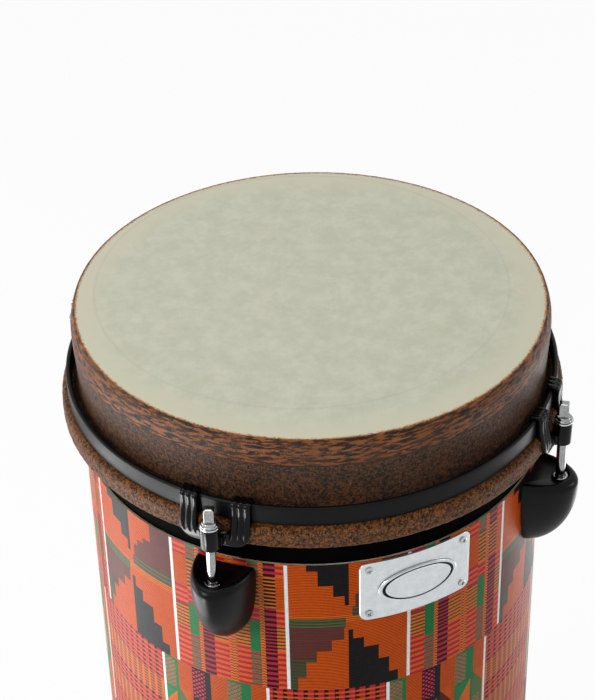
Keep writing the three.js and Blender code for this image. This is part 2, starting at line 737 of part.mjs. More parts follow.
// A pan-head screw drawn along +Z, with the underside of its head at zero.
function panScrew(radius, length, headRadius, headHeight) {
  return revolved(
    [
      [0, -length],
      [radius, -length],
      [radius, 0],
      [headRadius, 0],
      [headRadius, headHeight / 2],
      [headRadius - headHeight / 2, headHeight],
      [0, headHeight],
    ],
    SCREW_FACETS,
  );
}

// From inside the shell, outwards into the casing.
function lugScrew(height) {
  const seat = Math.sqrt(shellBoreFlats ** 2 - LUG_SCREW_HEAD_RADIUS ** 2) - GAP;
  const length = lugBack + LUG_SCREW_BITE - seat;
  return panScrew(LUG_SCREW_RADIUS, length, LUG_SCREW_HEAD_RADIUS, LUG_SCREW_HEAD_HEIGHT)
    .rotateX(-Math.PI / 2)
    .translate(0, -seat, height);
}

// From outside, inwards through a foot into the shell.
function footScrew() {
  const seat = footOuter + GAP;
  const length = seat - (SHELL_RADIUS - FOOT_SCREW_BITE);
  return panScrew(FOOT_SCREW_RADIUS, length, FOOT_SCREW_HEAD_RADIUS, FOOT_SCREW_HEAD_HEIGHT)
    .rotateX(Math.PI / 2)
    .translate(0, -seat, footScrewHeight);
}

// From outside, inwards through the badge into the shell.
function badgeScrew(height) {
  const seat = badgeFace + GAP;
  const length = seat - (SHELL_RADIUS - BADGE_SCREW_BITE);
  return panScrew(BADGE_SCREW_RADIUS, length, BADGE_SCREW_HEAD_RADIUS, BADGE_SCREW_HEAD_HEIGHT)
    .rotateX(Math.PI / 2)
    .translate(0, -seat, height);
}

function baseBaffle() {
  return revolved(wall(baffleBore, shellBore - GAP, baffleBottom, baffleTop));
}

function resonatorTube() {
  const top = baffleBottom + TUBE_LENGTH;
  return revolved(wall(TUBE_RADIUS - TUBE_WALL, TUBE_RADIUS, baffleBottom, top), TUBE_FACETS);
}

// The ring that steadies the tube on top of the baffle.
function tubeCollar() {
  const bottom = baffleTop + GAP;
  return revolved(
    [
      [baffleBore, bottom],
      [baffleBore + TUBE_COLLAR_WIDTH, bottom],
      [baffleBore + TUBE_COLLAR_WIDTH / 2, bottom + TUBE_COLLAR_HEIGHT],
      [baffleBore, bottom + TUBE_COLLAR_HEIGHT],
    ],
    TUBE_FACETS,
  );
}

// A foot's outline seen from outside, wider at the floor than where it grips the shell.
function footOutline() {
  const [base, top, corner] = [FOOT_BASE_WIDTH / 2, FOOT_TOP_WIDTH / 2, FOOT_CORNER];
  const shoulder = shellBottom + FOOT_OUTER_RISE - corner;
  const shape = new THREE.Shape();
  shape.moveTo(-base, -CUT_PAST);
  shape.lineTo(base, -CUT_PAST);
  shape.lineTo(base, FOOT_LIFT / 2);
  shape.absarc(top - corner, shoulder, corner, 0, Math.PI / 2);
  shape.absarc(-top + corner, shoulder, corner, Math.PI / 2, Math.PI);
  shape.lineTo(-base, FOOT_LIFT / 2);
  return shape;
}

// A moulded foot, drawn at the front: a channel that grips the shell's bottom edge over a solid tread.
function foot() {
  const outerTop = shellBottom + FOOT_OUTER_RISE + CUT_PAST;
  const innerTop = shellBottom + FOOT_INNER_RISE;
  const profile = [
    [footInner, FOOT_TREAD_CHAMFER],
    [footInner + FOOT_TREAD_CHAMFER, 0],
    [footOuter - FOOT_TREAD_CHAMFER, 0],
    [footOuter, FOOT_TREAD_CHAMFER],
    [footOuter, outerTop - FOOT_TREAD_CHAMFER * 2],
    [footOuter - FOOT_TREAD_CHAMFER, outerTop],
    [wrapOuter + GAP, outerTop],
    [wrapOuter + GAP, FOOT_LIFT],
    [footSlotInner, FOOT_LIFT],
    [footSlotInner, innerTop],
    [footInner, innerTop],
  ];
  const halfAngle = (FOOT_BASE_WIDTH / 2 + FOOT_CORNER / 2) / footInner;
  const channel = solidOf(sector(profile, halfAngle, FOOT_FACETS));
  const past = FOOT_BASE_WIDTH / 4;
  const outline = solidOf(facing(footOutline(), footInner - past, footOuter + past, FOOT_FACETS));
  const holeInner = wrapOuter - CUT_PAST;
  const holeOuter = footOuter + CUT_PAST;
  const holes = [-footScrewTurn, footScrewTurn].map((turn) =>
    screwHole(FOOT_SCREW_RADIUS, holeInner, holeOuter, footScrewHeight, turn),
  );
  return wasm.Manifold.difference([channel.intersect(outline), ...holes]);
}

// A thin plate bent to the shell, cut to an outline that is seen from outside.
function bentPlate(outline, inner, [thickness, width, height], curveSegments) {
  const halfAngle = (width / 2 + CUT_PAST) / inner;
  const reach = height / 2 + CUT_PAST;
  const section = wall(inner, inner + thickness, badgeMiddle - reach, badgeMiddle + reach);
  const sheet = solidOf(sector(section, halfAngle, BADGE_FACETS));
  return sheet.intersect(solidOf(facing(outline, inner - width, inner + width, curveSegments)));
}

function badgePlate() {
  const [x, y, corner] = [BADGE_WIDTH / 2, BADGE_HEIGHT / 2, BADGE_CORNER];
  const outline = new THREE.Shape();
  outline.absarc(x - corner, badgeMiddle - y + corner, corner, -Math.PI / 2, 0);
  outline.absarc(x - corner, badgeMiddle + y - corner, corner, 0, Math.PI / 2);
  outline.absarc(-x + corner, badgeMiddle + y - corner, corner, Math.PI / 2, Math.PI);
  outline.absarc(-x + corner, badgeMiddle - y + corner, corner, Math.PI, Math.PI * 1.5);
  const size = [BADGE_THICKNESS, BADGE_WIDTH, BADGE_HEIGHT];
  const plate = bentPlate(outline, badgeInner, size, BADGE_CORNER_FACETS);
  const [holeInner, holeOuter] = [badgeInner - CUT_PAST, badgeFace + CUT_PAST];
  const holes = badgeScrewPlaces().map(({ azimuth, height }) =>
    screwHole(BADGE_SCREW_RADIUS, holeInner, holeOuter, height, azimuth - BADGE_AZIMUTH),
  );
  return wasm.Manifold.difference([plate, ...holes]);
}

function badgeMedallion() {
  const outline = new THREE.Shape();
  outline.absellipse(0, badgeMiddle, MEDALLION_WIDTH / 2, MEDALLION_HEIGHT / 2, 0, Math.PI * 2);
  const size = [MEDALLION_THICKNESS, MEDALLION_WIDTH, MEDALLION_HEIGHT];
  return bentPlate(outline, badgeFace + GAP, size, MEDALLION_FACETS);
}

// Everything that repeats at a tuning station, on the rim and on the shell.
function tuningStation(station, shapes) {
  const number = station + 1;
  const rod = piece(`tension_rod_${number}`, shapes.rod, "chrome");
  const washer = piece(`rod_washer_${number}`, shapes.washer, "zinc");
  const nut = piece(`lug_nut_${number}`, shapes.nut, "chrome");
  for (const mesh of [rod, washer, nut]) mesh.position.y = -rodCircle;
  const screws = Object.entries(LUG_SCREW_DROPS).map(([row, drop]) =>
    piece(`lug_screw_${number}_${row}`, lugScrew(lugTop - drop), "zinc"),
  );
  return atAzimuth(
    stationAzimuth(station),
    piece(`tuning_claw_${number}`, shapes.claw, "blackGloss"),
    piece(`lug_casing_${number}`, shapes.casing, "lugBlack"),
    rod,
    washer,
    nut,
    ...screws,
  );
}

function footWithScrews(station, footShape) {
  const number = station + 1;
  return atAzimuth(
    stationAzimuth(station),
    piece(`foot_${number}`, footShape, "rubber"),
    atAzimuth(-footScrewTurn, piece(`foot_screw_${number}_left`, footScrew(), "zinc")),
    atAzimuth(footScrewTurn, piece(`foot_screw_${number}_right`, footScrew(), "zinc")),
  );
}

function badge() {
  const screws = badgeScrewPlaces().map(({ azimuth, height }, i) =>
    atAzimuth(azimuth, piece(`badge_screw_${i + 1}`, badgeScrew(height), "zinc")),
  );
  const plates = atAzimuth(
    BADGE_AZIMUTH,
    piece("badge_plate", badgePlate(), "aluminium"),
    piece("badge_medallion", badgeMedallion(), "chrome"),
  );
  return [plates, ...screws];
}

const drum = new THREE.Group();
drum.add(
  piece("shell", shell(), "shellBlack"),
  piece("shell_wrap", shellWrap(), "fabric"),
  piece("head_skin", headSkin(), "skin"),
  piece("head_collar", headCollar(), "collar"),
  piece("head_hoop", headHoop(), "collar"),
  piece("rim", rim(), "blackSteel"),
  piece("base_baffle", baseBaffle(), "fibreboard"),
  piece("resonator_tube", resonatorTube(), "fibreboard"),
  piece("tube_collar", tubeCollar(), "fibreboard"),
  ...badge(),
);

const shapes = {
  claw: tuningClaw(),
  casing: lugCasing(),
  rod: tensionRod(),
  washer: rodWasher(),
  nut: lugNut(),
};
const footShape = foot();
for (let station = 0; station < STATION_COUNT; station++) {
  drum.add(tuningStation(station, shapes), footWithScrews(station, footShape));
}

export default drum;
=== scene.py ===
"""Looks of a tubano, a tall floor-standing hand drum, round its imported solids.

Sizes in the classes are millimetres in the frame of the solids: +Z up, the floor at zero and
the badge towards -Y. An azimuth of 0 is the front, and azimuths grow towards +X.
"""

import logging
import math
from collections.abc import Callable, Sequence
from dataclasses import dataclass, field
from enum import Enum
from typing import ClassVar

import bmesh
import bpy
import numpy as np
from mathutils import Matrix, Vector

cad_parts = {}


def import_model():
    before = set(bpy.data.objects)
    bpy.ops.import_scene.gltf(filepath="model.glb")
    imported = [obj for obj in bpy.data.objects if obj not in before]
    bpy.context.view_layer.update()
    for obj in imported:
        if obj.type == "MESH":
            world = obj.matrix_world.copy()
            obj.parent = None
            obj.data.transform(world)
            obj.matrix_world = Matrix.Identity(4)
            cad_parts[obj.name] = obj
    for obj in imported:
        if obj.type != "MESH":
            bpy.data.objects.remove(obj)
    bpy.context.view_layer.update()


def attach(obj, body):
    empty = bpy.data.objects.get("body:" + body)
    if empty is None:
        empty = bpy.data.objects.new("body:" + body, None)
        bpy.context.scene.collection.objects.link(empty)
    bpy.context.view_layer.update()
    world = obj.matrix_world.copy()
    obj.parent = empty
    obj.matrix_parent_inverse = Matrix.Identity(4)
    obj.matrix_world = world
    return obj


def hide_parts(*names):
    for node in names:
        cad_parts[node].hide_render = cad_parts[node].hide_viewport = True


MM = 0.001
NOISE = "ShaderNodeTexNoise"  # its sockets are a place, a W, a scale, a detail and a roughness
Point = tuple[float, float]
Shape = tuple[np.ndarray, list]
Tree = bpy.types.NodeTree
log = logging.getLogger("tubano")


# Colours and nodes


def linear(code: str) -> tuple[float, float, float, float]:
    """Turns an sRGB hex colour into Blender's linear one.

    Args:
        code: The colour as #RRGGBB.

    Returns:
        Red, green, blue and an alpha of 1.
    """
    parts = [int(code[i : i + 2], 16) / 255 for i in (1, 3, 5)]
    lit = [c / 12.92 if c <= 0.04045 else ((c + 0.055) / 1.055) ** 2.4 for c in parts]
    return lit[0], lit[1], lit[2], 1.0


@dataclass(frozen=True)
class Field:
    """One output of a node, to be reckoned with: each sum adds a node of its own."""

    tree: Tree
    node: bpy.types.Node
    output: int | str = 0

    def __getitem__(self, output: int | str) -> "Field":
        """Gives another output of the same node."""
        return Field(self.tree, self.node, output)

    def __add__(self, other: "Field | float") -> "Field":
        """Gives the sum with a field or a number."""
        return add_node(self.tree, "ShaderNodeMath", self, other, operation="ADD")

    def __sub__(self, other: "Field | float") -> "Field":
        """Gives what is left when a field or a number is taken away."""
        return add_node(self.tree, "ShaderNodeMath", self, other, operation="SUBTRACT")

    def __mul__(self, other: "Field | float") -> "Field":
        """Gives the product with a field or a number."""
        return add_node(self.tree, "ShaderNodeMath", self, other, operation="MULTIPLY")

    def __truediv__(self, other: "Field | float") -> "Field":
        """Gives the quotient by a field or a number."""
        return add_node(self.tree, "ShaderNodeMath", self, other, operation="DIVIDE")

    def __mod__(self, other: "Field | float") -> "Field":
        """Gives what is left over whole steps, never below 0."""
        return add_node(self.tree, "ShaderNodeMath", self, other, operation="FLOORED_MODULO")

    def __lt__(self, other: "Field | float") -> "Field":
        """Gives 1 where this is less, and else 0."""
        return add_node(self.tree, "ShaderNodeMath", self, other, operation="LESS_THAN")

    def __abs__(self) -> "Field":
        """Gives the size without its sign."""
        return add_node(self.tree, "ShaderNodeMath", self, operation="ABSOLUTE")


def add_node(tree: Tree, kind: str, *values: object, **named: object) -> Field:
    """Adds a node with its settings and links.

    Args:
        tree: The tree that gets the node.
        kind: Blender's name for the node's type.
        values: What feeds its first sockets in turn: fields, values, or colours as #RRGGBB.
            A None leaves a socket as it is.
        named: Sockets by their names, which start with a capital and have underscores for
            spaces, and the node's own properties.

    Returns:
        The node's first output.
    """
    node = tree.nodes.new(kind)
    feeds: dict[int | str, object] = dict(enumerate(values))
    for name, value in named.items():
        if name[0].isupper():
            feeds[name.replace("_", " ")] = value
        else:
            setattr(node, name, value)
    for key, value in feeds.items():
        if isinstance(value, Field):
            tree.links.new(value.node.outputs[value.output], node.inputs[key])
        elif value is not None:
            is_colour = isinstance(value, str) and value.startswith("#")
            node.inputs[key].default_value = linear(value) if is_colour else value
    return Field(tree, node)


def fitted(size: float) -> float:
    """Gives the scale of a texture whose features are about so many millimetres across."""
    return 1 / (size * MM)


@dataclass(frozen=True)
class Layer:
    """A colour laid over others, whose share goes from start to cover as a field rises."""

    colour: Field | str
    rising: Field
    low: float
    high: float
    start: float = 0.0
    cover: Field | float = 1.0


def layered(base: Field | str, *layers: Layer) -> Field:
    """Lays colours over a base colour, each over all before it, and gives the mix.

    Args:
        base: The colour below all others.
        layers: The layers in turn.

    Returns:
        The mixed colour.
    """
    unused = [None] * 5  # the sockets for numbers and vectors, which lie before the colours'
    for layer in layers:
        tree = layer.rising.tree
        ends = (layer.low, layer.high, layer.start, layer.cover)
        share = add_node(
            tree, "ShaderNodeMapRange", layer.rising, *ends, interpolation_type="SMOOTHSTEP"
        )
        colours = (*unused, base, layer.colour)
        base = add_node(tree, "ShaderNodeMix", share, *colours, data_type="RGBA")[2]
    return base


# Finishes


@dataclass(frozen=True)
class Finish:
    """A material with a grain in its colour, its gloss and its relief.

    Fields are its name, its dark and light colour, the grain's size and relief in
    millimetres, its roughness and how far that wanders, its share of metal, and the level of
    its reflections, where 0.5 is a plain plastic's.
    """

    name: str
    dark: str
    light: str
    grain: float
    relief: float
    roughness: float
    wander: float = 0.06
    metallic: float = 0.0
    specular: float = 0.5

    extras: ClassVar[dict[str, float]] = {}

    def colour(self, place: Field) -> Field:
        """Gives the colour: large soft patches with the fine grain on them."""
        fine, broad = fitted(self.grain), fitted(self.grain * 14)
        share = add_node(place.tree, NOISE, place, None, fine, 3, 0.55) * 0.6
        share += add_node(place.tree, NOISE, place, None, broad, 2, 0.55) * 0.4
        return layered(self.dark, Layer(self.light, share, 0.36, 0.66))

    def height(self, place: Field) -> Field:
        """Gives the relief, from 0 to 1."""
        return add_node(place.tree, NOISE, place, None, fitted(self.grain), 3, 0.55)

    def material(self) -> bpy.types.Material:
        """Makes the material, or returns the one already made.

        Returns:
            The material, with its nodes.
        """
        made = bpy.data.materials.get(self.name)
        if made:
            return made
        made = bpy.data.materials.new(self.name)
        made.use_nodes = True
        tree = made.node_tree
        tree.nodes.clear()
        place = add_node(tree, "ShaderNodeTexCoord")["Object"]
        relief = {"Height": self.height(place), "Strength": 1.0, "Distance": self.relief * MM}
        smear = add_node(tree, NOISE, place, None, fitted(self.grain * 9), 3, 0.55)
        shader = add_node(
            tree,
            "ShaderNodeBsdfPrincipled",
            Base_Color=self.colour(place),
            Roughness=smear * (self.wander * 2) + (self.roughness - self.wander),
            Normal=add_node(tree, "ShaderNodeBump", **relief),
            Metallic=self.metallic,
            Specular_IOR_Level=self.specular,
            **self.extras,
        )
        add_node(tree, "ShaderNodeOutputMaterial", shader)
        return made


@dataclass(frozen=True)
class BrushedMetal(Finish):
    """Metal with fine level brush lines, which stretch its highlights up and down."""

    def height(self, place: Field) -> Field:
        """Gives level scratches, long and about a grain wide."""
        squeeze = (0.06, 0.06, 1.0)
        long_way = add_node(place.tree, "ShaderNodeMapping", Vector=place, Scale=squeeze)
        return add_node(place.tree, NOISE, long_way, None, fitted(self.grain), 4, 0.7)


@dataclass(frozen=True)
class FibreBoard(Finish):
    """Pressed or painted wood fibre, in flat chips."""

    def height(self, place: Field) -> Field:
        """Gives flat chips under the fine tooth."""
        tree, scale = place.tree, fitted(self.grain * 4)
        chips = add_node(tree, "ShaderNodeTexVoronoi", Vector=place, Scale=scale)
        tooth = add_node(tree, NOISE, place, None, fitted(self.grain), 4, 0.55)
        return chips["Distance"] * 0.4 + tooth


@dataclass(frozen=True)
class WoundBoard(Finish):
    """A tube wound from strips of board, whose edges climb it as a helix."""

    strip: float = 62.0
    joint: float = 0.03

    def turns(self, place: Field) -> Field:
        """Gives 0 to 1 across each strip."""
        parts = add_node(place.tree, "ShaderNodeSeparateXYZ", place)
        angle = add_node(place.tree, "ShaderNodeMath", parts, parts[1], operation="ARCTAN2")
        return (angle * (0.5 / math.pi) + parts[2] * (1 / (self.strip * MM))) % 1.0

    def colour(self, place: Field) -> Field:
        """Gives the board's mottle with a dark line where two strips meet."""
        mottle = super().colour(place)
        return layered(self.dark, Layer(mottle, self.turns(place), 0.0, self.joint))

    def height(self, place: Field) -> Field:
        """Gives a step down at each strip's edge."""
        ends = (0.0, self.joint, 0.0, 0.6)
        smooth = {"interpolation_type": "SMOOTHSTEP"}
        step = add_node(place.tree, "ShaderNodeMapRange", self.turns(place), *ends, **smooth)
        return step + super().height(place)


@dataclass(frozen=True)
class DrumFilm(Finish):
    """A mottled polyester film like parchment, yellower where it is drawn over the edge."""

    band: str = "#C8C5AE"
    fringe: str = "#3A2213"
    rust: str = "#9A5A1C"
    fleck: str = "#A9AC98"
    ring: str = "#8F8E78"
    ring_radius: float = 133.0
    ring_shift: float = -14.0
    fringe_radius: float = 149.5

    # A little light goes into the film
    extras = {"Subsurface_Weight": 0.08, "Subsurface_Scale": 0.002}

    def colour(self, place: Field) -> Field:
        """Gives the cloudy film, a faint ring a little off its centre and the ragged fringe.

        Args:
            place: The place in the object's own space, in metres.

        Returns:
            The colour.
        """
        tree, edge = place.tree, self.fringe_radius
        parts = add_node(tree, "ShaderNodeSeparateXYZ", place)
        flat = add_node(tree, "ShaderNodeCombineXYZ", parts, parts[1])
        moved = add_node(tree, "ShaderNodeVectorMath", flat, (0, self.ring_shift * MM, 0))
        radius, reach = (
            add_node(tree, "ShaderNodeVectorMath", v, operation="LENGTH")[1] * (1 / MM)
            for v in (flat, moved)
        )
        ragged = add_node(tree, NOISE, place, None, fitted(1.3), 6, 0.85) * 9.0 + radius - 4.5
        clouds = add_node(tree, NOISE, flat, None, fitted(16), 6, 0.66)
        flecks = add_node(tree, NOISE, flat, None, fitted(4.5), 4, 0.7)
        return layered(
            self.dark,
            Layer(self.light, clouds, 0.34, 0.68),
            Layer(self.fleck, flecks, 0.42, 0.62, cover=0.14),
            Layer(self.band, radius, 124.0, 147.0),
            Layer(self.ring, abs(reach - self.ring_radius), 0.2, 1.5, start=0.12, cover=0.0),
            Layer(self.rust, ragged, edge - 1.0, edge + 0.2),
            Layer(self.fringe, ragged, edge + 0.3, edge + 1.6),
        )


@dataclass(frozen=True)
class FibreCollar(Finish):
    """A film skin over wood fibre: streaky and rusty above its seam, pebbled and dark below."""

    rust: str = "#A9622A"
    # The pale flecks and their share paint glints of light on the fibres' ends
    pale: str = "#A9805C"
    line: str = "#20120A"
    seam: float = 668.5
    glint_speckle: float = 0.5

    def streaks(self, place: Field) -> Field:
        """Gives grain that runs round the collar and leans a little.

        Args:
            place: The place in the object's own space, in metres.

        Returns:
            Noise from 0 to 1.
        """
        tree = place.tree
        parts = add_node(tree, "ShaderNodeSeparateXYZ", place)
        angle = add_node(tree, "ShaderNodeMath", parts, parts[1] * -1.0, operation="ARCTAN2")
        lean = angle * -0.007 + parts[2]
        run = add_node(tree, "ShaderNodeCombineXYZ", angle * 0.03, lean)
        return add_node(tree, NOISE, run, None, fitted(1.9), 4, 0.62)

    def colour(self, place: Field) -> Field:
        """Gives streaks above the seam, pebbles below it with pale flecks as painted glints, and its
        dark line.

        Args:
            place: The place in the object's own space, in metres.

        Returns:
            The colour.
        """
        tree, seam = place.tree, self.seam * MM
        rise = add_node(tree, "ShaderNodeSeparateXYZ", place)[2]
        patches, pebbles, flecks = (
            add_node(tree, NOISE, place, None, fitted(size), detail, rough)
            for size, detail, rough in ((22, 3, 0.55), (2.3, 5, 0.75), (1.2, 3, 0.8))
        )
        streaked = layered(
            self.dark,
            Layer(self.rust, self.streaks(place), 0.46, 0.56),
            Layer(self.light, patches, 0.35, 0.7, cover=0.5),
        )
        return layered(
            self.dark,
            Layer(self.light, pebbles, 0.44, 0.58),
            # Pale flecks: painted glints of light on the fibres' ends
            Layer(self.pale, flecks, 0.54, 0.66, cover=self.glint_speckle),
            Layer(streaked, rise, seam - 0.8 * MM, seam + 0.8 * MM),
            Layer(self.line, abs(rise - seam), 0.2 * MM, 0.9 * MM, start=0.7, cover=0.0),
        )

    def height(self, place: Field) -> Field:
        """Gives coarse pebbles with grit on them."""
        tree, ends, smooth = place.tree, (0.38, 0.62, 0.0, 0.6), {"interpolation_type": "SMOOTHSTEP"}
        grit = add_node(tree, NOISE, place, None, fitted(1.4), 3, 0.8)
        grit = add_node(tree, "ShaderNodeMapRange", grit, *ends, **smooth)
        return grit + add_node(tree, NOISE, place, None, fitted(self.grain * 2), 4, 0.7)


@dataclass(frozen=True)
class PrintedCloth(Finish):
    """Kente-patterned cloth under a thin clear film: two yarns in each patch and a weft rib.

    The weft's rib and the warp's thread, in millimetres, are drawn about twice as coarse as
    they are, so that they show.
    """

    rib: float = 1.3
    thread: float = 0.9
    gap: str = "#8A1800"
    fade: str = "#3A1408"

    def mask(self, cloth: Field, wave: str, duty: Field) -> Field:
        """Gives 1 on the bars of one wave.

        Args:
            cloth: The place on the cloth, in millimetres, with 1 as its third part.
            wave: The attribute that holds the wave's two frequencies and its phase.
            duty: The share of each period that the bars take.

        Returns:
            The mask, 0 or 1.
        """
        wave_parts = add_node(cloth.tree, "ShaderNodeAttribute", attribute_name=wave)[1]
        ends = (cloth, wave_parts)
        run = add_node(cloth.tree, "ShaderNodeVectorMath", *ends, operation="DOT_PRODUCT")[1]
        return run % 1.0 < duty

    def ribs(self, cloth: Field, axis: int, pitch: float) -> Field:
        """Gives a wave of a pitch in millimetres across (0) or down (1) the cloth."""
        along = add_node(cloth.tree, "ShaderNodeSeparateXYZ", cloth)[axis]
        turn = along * (2 * math.pi / pitch)
        return add_node(cloth.tree, "ShaderNodeMath", turn, operation="SINE")

    def colour(self, place: Field) -> Field:
        """Gives the two yarns of each patch, darkened between the weft ribs.

        Args:
            place: The place in the object's own space, in metres.

        Returns:
            The colour.
        """
        tree = place.tree
        cloth, ground, figure, fill = (
            add_node(tree, "ShaderNodeAttribute", attribute_name=name)
            for name in ("cloth", "ground", "figure", "fill")
        )
        fill = add_node(tree, "ShaderNodeSeparateXYZ", fill[1])
        wear = add_node(tree, NOISE, place, None, fitted(3), 4, 0.7)
        first, second = (
            self.mask(cloth[1], wave, fill[i]) for i, wave in enumerate(("first", "second"))
        )
        return layered(
            ground,
            Layer(figure, first * second, 0.0, 1.0),
            Layer(self.gap, self.ribs(cloth[1], 1, self.rib), -0.2, 0.5, cover=fill[2]),
            Layer(self.fade, wear, 0.40, 0.7, cover=0.14),
        )

    def height(self, place: Field) -> Field:
        """Gives the crossed threads."""
        cloth = add_node(place.tree, "ShaderNodeAttribute", attribute_name="cloth")[1]
        return self.ribs(cloth, 1, self.rib) * 0.6 + self.ribs(cloth, 0, self.thread) * 0.3


# Polyester film, cast hazy: a soft even shine with clouds in it
FILM = DrumFilm("hazy_polyester_film", "#BCBEA9", "#C8C9B6", 2.0, 0.02, 0.46, specular=0.25)
# Film laminated over wood fibre: rough, with glints of light on the fibres' ends painted in as pale
# flecks
COLLAR = FibreCollar(
    "wood_fibre_laminate", "#0C0501", "#6A3E1C", 1.3, 1.3, 0.42, 0.08, specular=0.22
)
# The same laminate on the flesh hoop: coarser, with more painted glints as pale flecks, and pebbled all
# over
HOOP = FibreCollar(
    "coarse_fibre_laminate", "#2A1406", "#8E5216", 1.5, 1.2, 0.44, 0.08,
    specular=0.14, seam=900, glint_speckle=0.8,
)
# Steel under satin powder coat: black-grey, with an orange-peel tooth under a millimetre across
POWDER = Finish(
    "satin_powder_coated_steel", "#08090A", "#0C0D0E", 0.8, 0.03, 0.34, specular=0.11
)
# Steel dipped in gloss enamel: black, with sharp highlights on every rib
ENAMEL = Finish(
    "gloss_enamelled_steel", "#030404", "#060707", 3.0, 0.02, 0.10, 0.02, specular=0.14
)
# Bright chrome plate: a mirror with faint wiping marks
CHROME = Finish("bright_chrome_plate", "#8E908F", "#A6A8A6", 2.0, 0.004, 0.07, 0.03, 1.0)
# Zinc plate: a duller blue-grey mirror with a fine crystal
ZINC = Finish("zinc_plated_steel", "#A5ABAF", "#C3C8CA", 0.8, 0.01, 0.22, 0.05, 1.0)
# Glass-filled nylon, moulded in a spark-eroded tool: black with a soft wide highlight
NYLON = Finish(
    "moulded_glass_filled_nylon", "#040405", "#070708", 0.6, 0.03, 0.30, specular=0.12
)
# Aluminium sheet, brushed level and clear anodised: pale, cool and satin
ALUMINIUM = BrushedMetal(
    "brushed_anodised_aluminium", "#C6CBCE", "#D8DCDD", 0.35, 0.012, 0.32, 0.05, 0.9
)
# Wood-fibre tube with a matt black lacquer: nearly no shine, with the fibres showing through
LACQUER = FibreBoard(
    "matt_lacquered_fibre_tube", "#010101", "#030303", 1.2, 0.05, 0.7, specular=0.01
)
# Raw hardboard: brown, felted and dull
BOARD = FibreBoard("pressed_hardboard", "#5A4029", "#87643F", 1.6, 0.12, 0.85)
# Kraft board, spirally wound: dark grey-brown with a lighter scuffed mottle
TUBE = WoundBoard("spirally_wound_kraft_board", "#2A231C", "#4A3D30", 1.5, 0.15, 0.8)
# The cut edge of the covering: a thin pale line of backing paper
EDGE = Finish("backing_paper_edge", "#8C7F63", "#C2B796", 0.8, 0.05, 0.8)
# Rubber with a mould's fine tooth: matt, grey-black and a little dusty
RUBBER = Finish("moulded_black_rubber", "#101010", "#1B1A19", 0.9, 0.05, 0.7, specular=0.3)
# Printed cotton under a clear film: its yarns give the colour, ribbed across, with little shine
CLOTH = PrintedCloth(
    "printed_cotton_laminate", "#000000", "#000000", 1.3, 0.05, 0.34, specular=0.06
)


# Shapes


def arc(centre: Point, radius: float, start: float, end: float, steps: int) -> list[Point]:
    """Gives points on an arc, from one angle in degrees to another."""
    angles = np.radians(np.linspace(start, end, steps + 1))
    return [(centre[0] + radius * math.cos(a), centre[1] + radius * math.sin(a)) for a in angles]


def spline(knots: Sequence[Point], steps: int) -> list[Point]:
    """Gives a smooth curve through knots, with so many steps between each two.

    Args:
        knots: The points that it passes.
        steps: The steps between each two.

    Returns:
        The curve's points, ends and all.
    """
    ends = [knots[0], *knots, knots[-1]]
    made = []
    for span in zip(ends, ends[1:], ends[2:], ends[3:]):
        a, b, c, d = (np.array(p, float) for p in span)
        for t in np.linspace(0, 1, steps, endpoint=False):
            low = 2 * b + (c - a) * t
            bend, twist = 2 * a - 5 * b + 4 * c - d, 3 * b - a - 3 * c + d
            made.append(tuple(0.5 * (low + bend * t**2 + twist * t**3)))
    return [*made, knots[-1]]


def rounded(corners: Sequence[tuple[float, float, float]], steps: int = 4) -> list[Point]:
    """Rounds a closed profile's corners.

    Args:
        corners: Across, height and rounding radius of each corner, in order.
        steps: Steps in each rounding.

    Returns:
        The profile's points.
    """
    made: list[Point] = []
    for i, (x, y, radius) in enumerate(corners):
        if radius <= 0:
            made.append((x, y))
            continue
        corner = np.array((x, y))
        beside = (corners[i - 1], corners[(i + 1) % len(corners)])
        ways = [np.array(other[:2]) - corner for other in beside]
        back, ahead = (way / np.linalg.norm(way) for way in ways)
        half = math.acos(float(np.clip(back @ ahead, -1, 1))) / 2
        reach = radius / math.tan(half)
        start, end = corner + back * reach, corner + ahead * reach
        for t in np.linspace(0, 1, steps + 1):
            made.append(tuple((1 - t) ** 2 * start + 2 * t * (1 - t) * corner + t**2 * end))
    return made


def boxed(
    left: float, low: float, right: float, high: float, *radii: float, steps: int = 4
) -> list[Point]:
    """Gives an upright rectangle, rounded by a radius each, from its low left corner round."""
    corners = ((left, low), (right, low), (right, high), (left, high))
    return rounded([(x, y, radius) for (x, y), radius in zip(corners, radii)], steps)


def evened(profile: Sequence[Point], step: float) -> list[Point]:
    """Adds points to a closed profile, so that none lie further apart than a step.

    Args:
        profile: The profile's points.
        step: The longest step, in millimetres.

    Returns:
        The profile's points and those added.
    """
    made: list[Point] = []
    for a, b in zip(profile, [*profile[1:], profile[0]]):
        count = max(1, math.ceil(math.dist(a, b) / step))
        for i in range(count):
            made.append((a[0] + (b[0] - a[0]) * i / count, a[1] + (b[1] - a[1]) * i / count))
    return made


def turned(points: np.ndarray, azimuth: float) -> np.ndarray:
    """Turns points about the drum's axis by an azimuth in degrees."""
    c, s = math.cos(math.radians(azimuth)), math.sin(math.radians(azimuth))
    return points @ np.array([[c, s, 0], [-s, c, 0], [0, 0, 1]])


def make_mesh(name: str, shape: Shape, sharp: float, azimuth: float = 0.0) -> bpy.types.Mesh:
    """Makes a mesh with its faces outwards.

    Args:
        name: The mesh's name.
        shape: Its points in millimetres and the corner numbers of its faces.
        sharp: Edges that turn further than this, in degrees, stay sharp.
        azimuth: How far round the drum it is turned from the front, in degrees.

    Returns:
        The mesh, in metres.
    """
    points = turned(np.asarray(shape[0]), azimuth)
    mesh = bpy.data.meshes.new(name)
    mesh.from_pydata((points * MM).tolist(), [], [list(f) for f in shape[1]])
    work = bmesh.new()
    work.from_mesh(mesh)
    bmesh.ops.remove_doubles(work, verts=work.verts, dist=1e-7)
    bmesh.ops.recalc_face_normals(work, faces=work.faces)
    work.to_mesh(mesh)
    work.free()
    mesh.shade_smooth()
    mesh.set_sharp_from_angle(angle=math.radians(sharp))
    return mesh


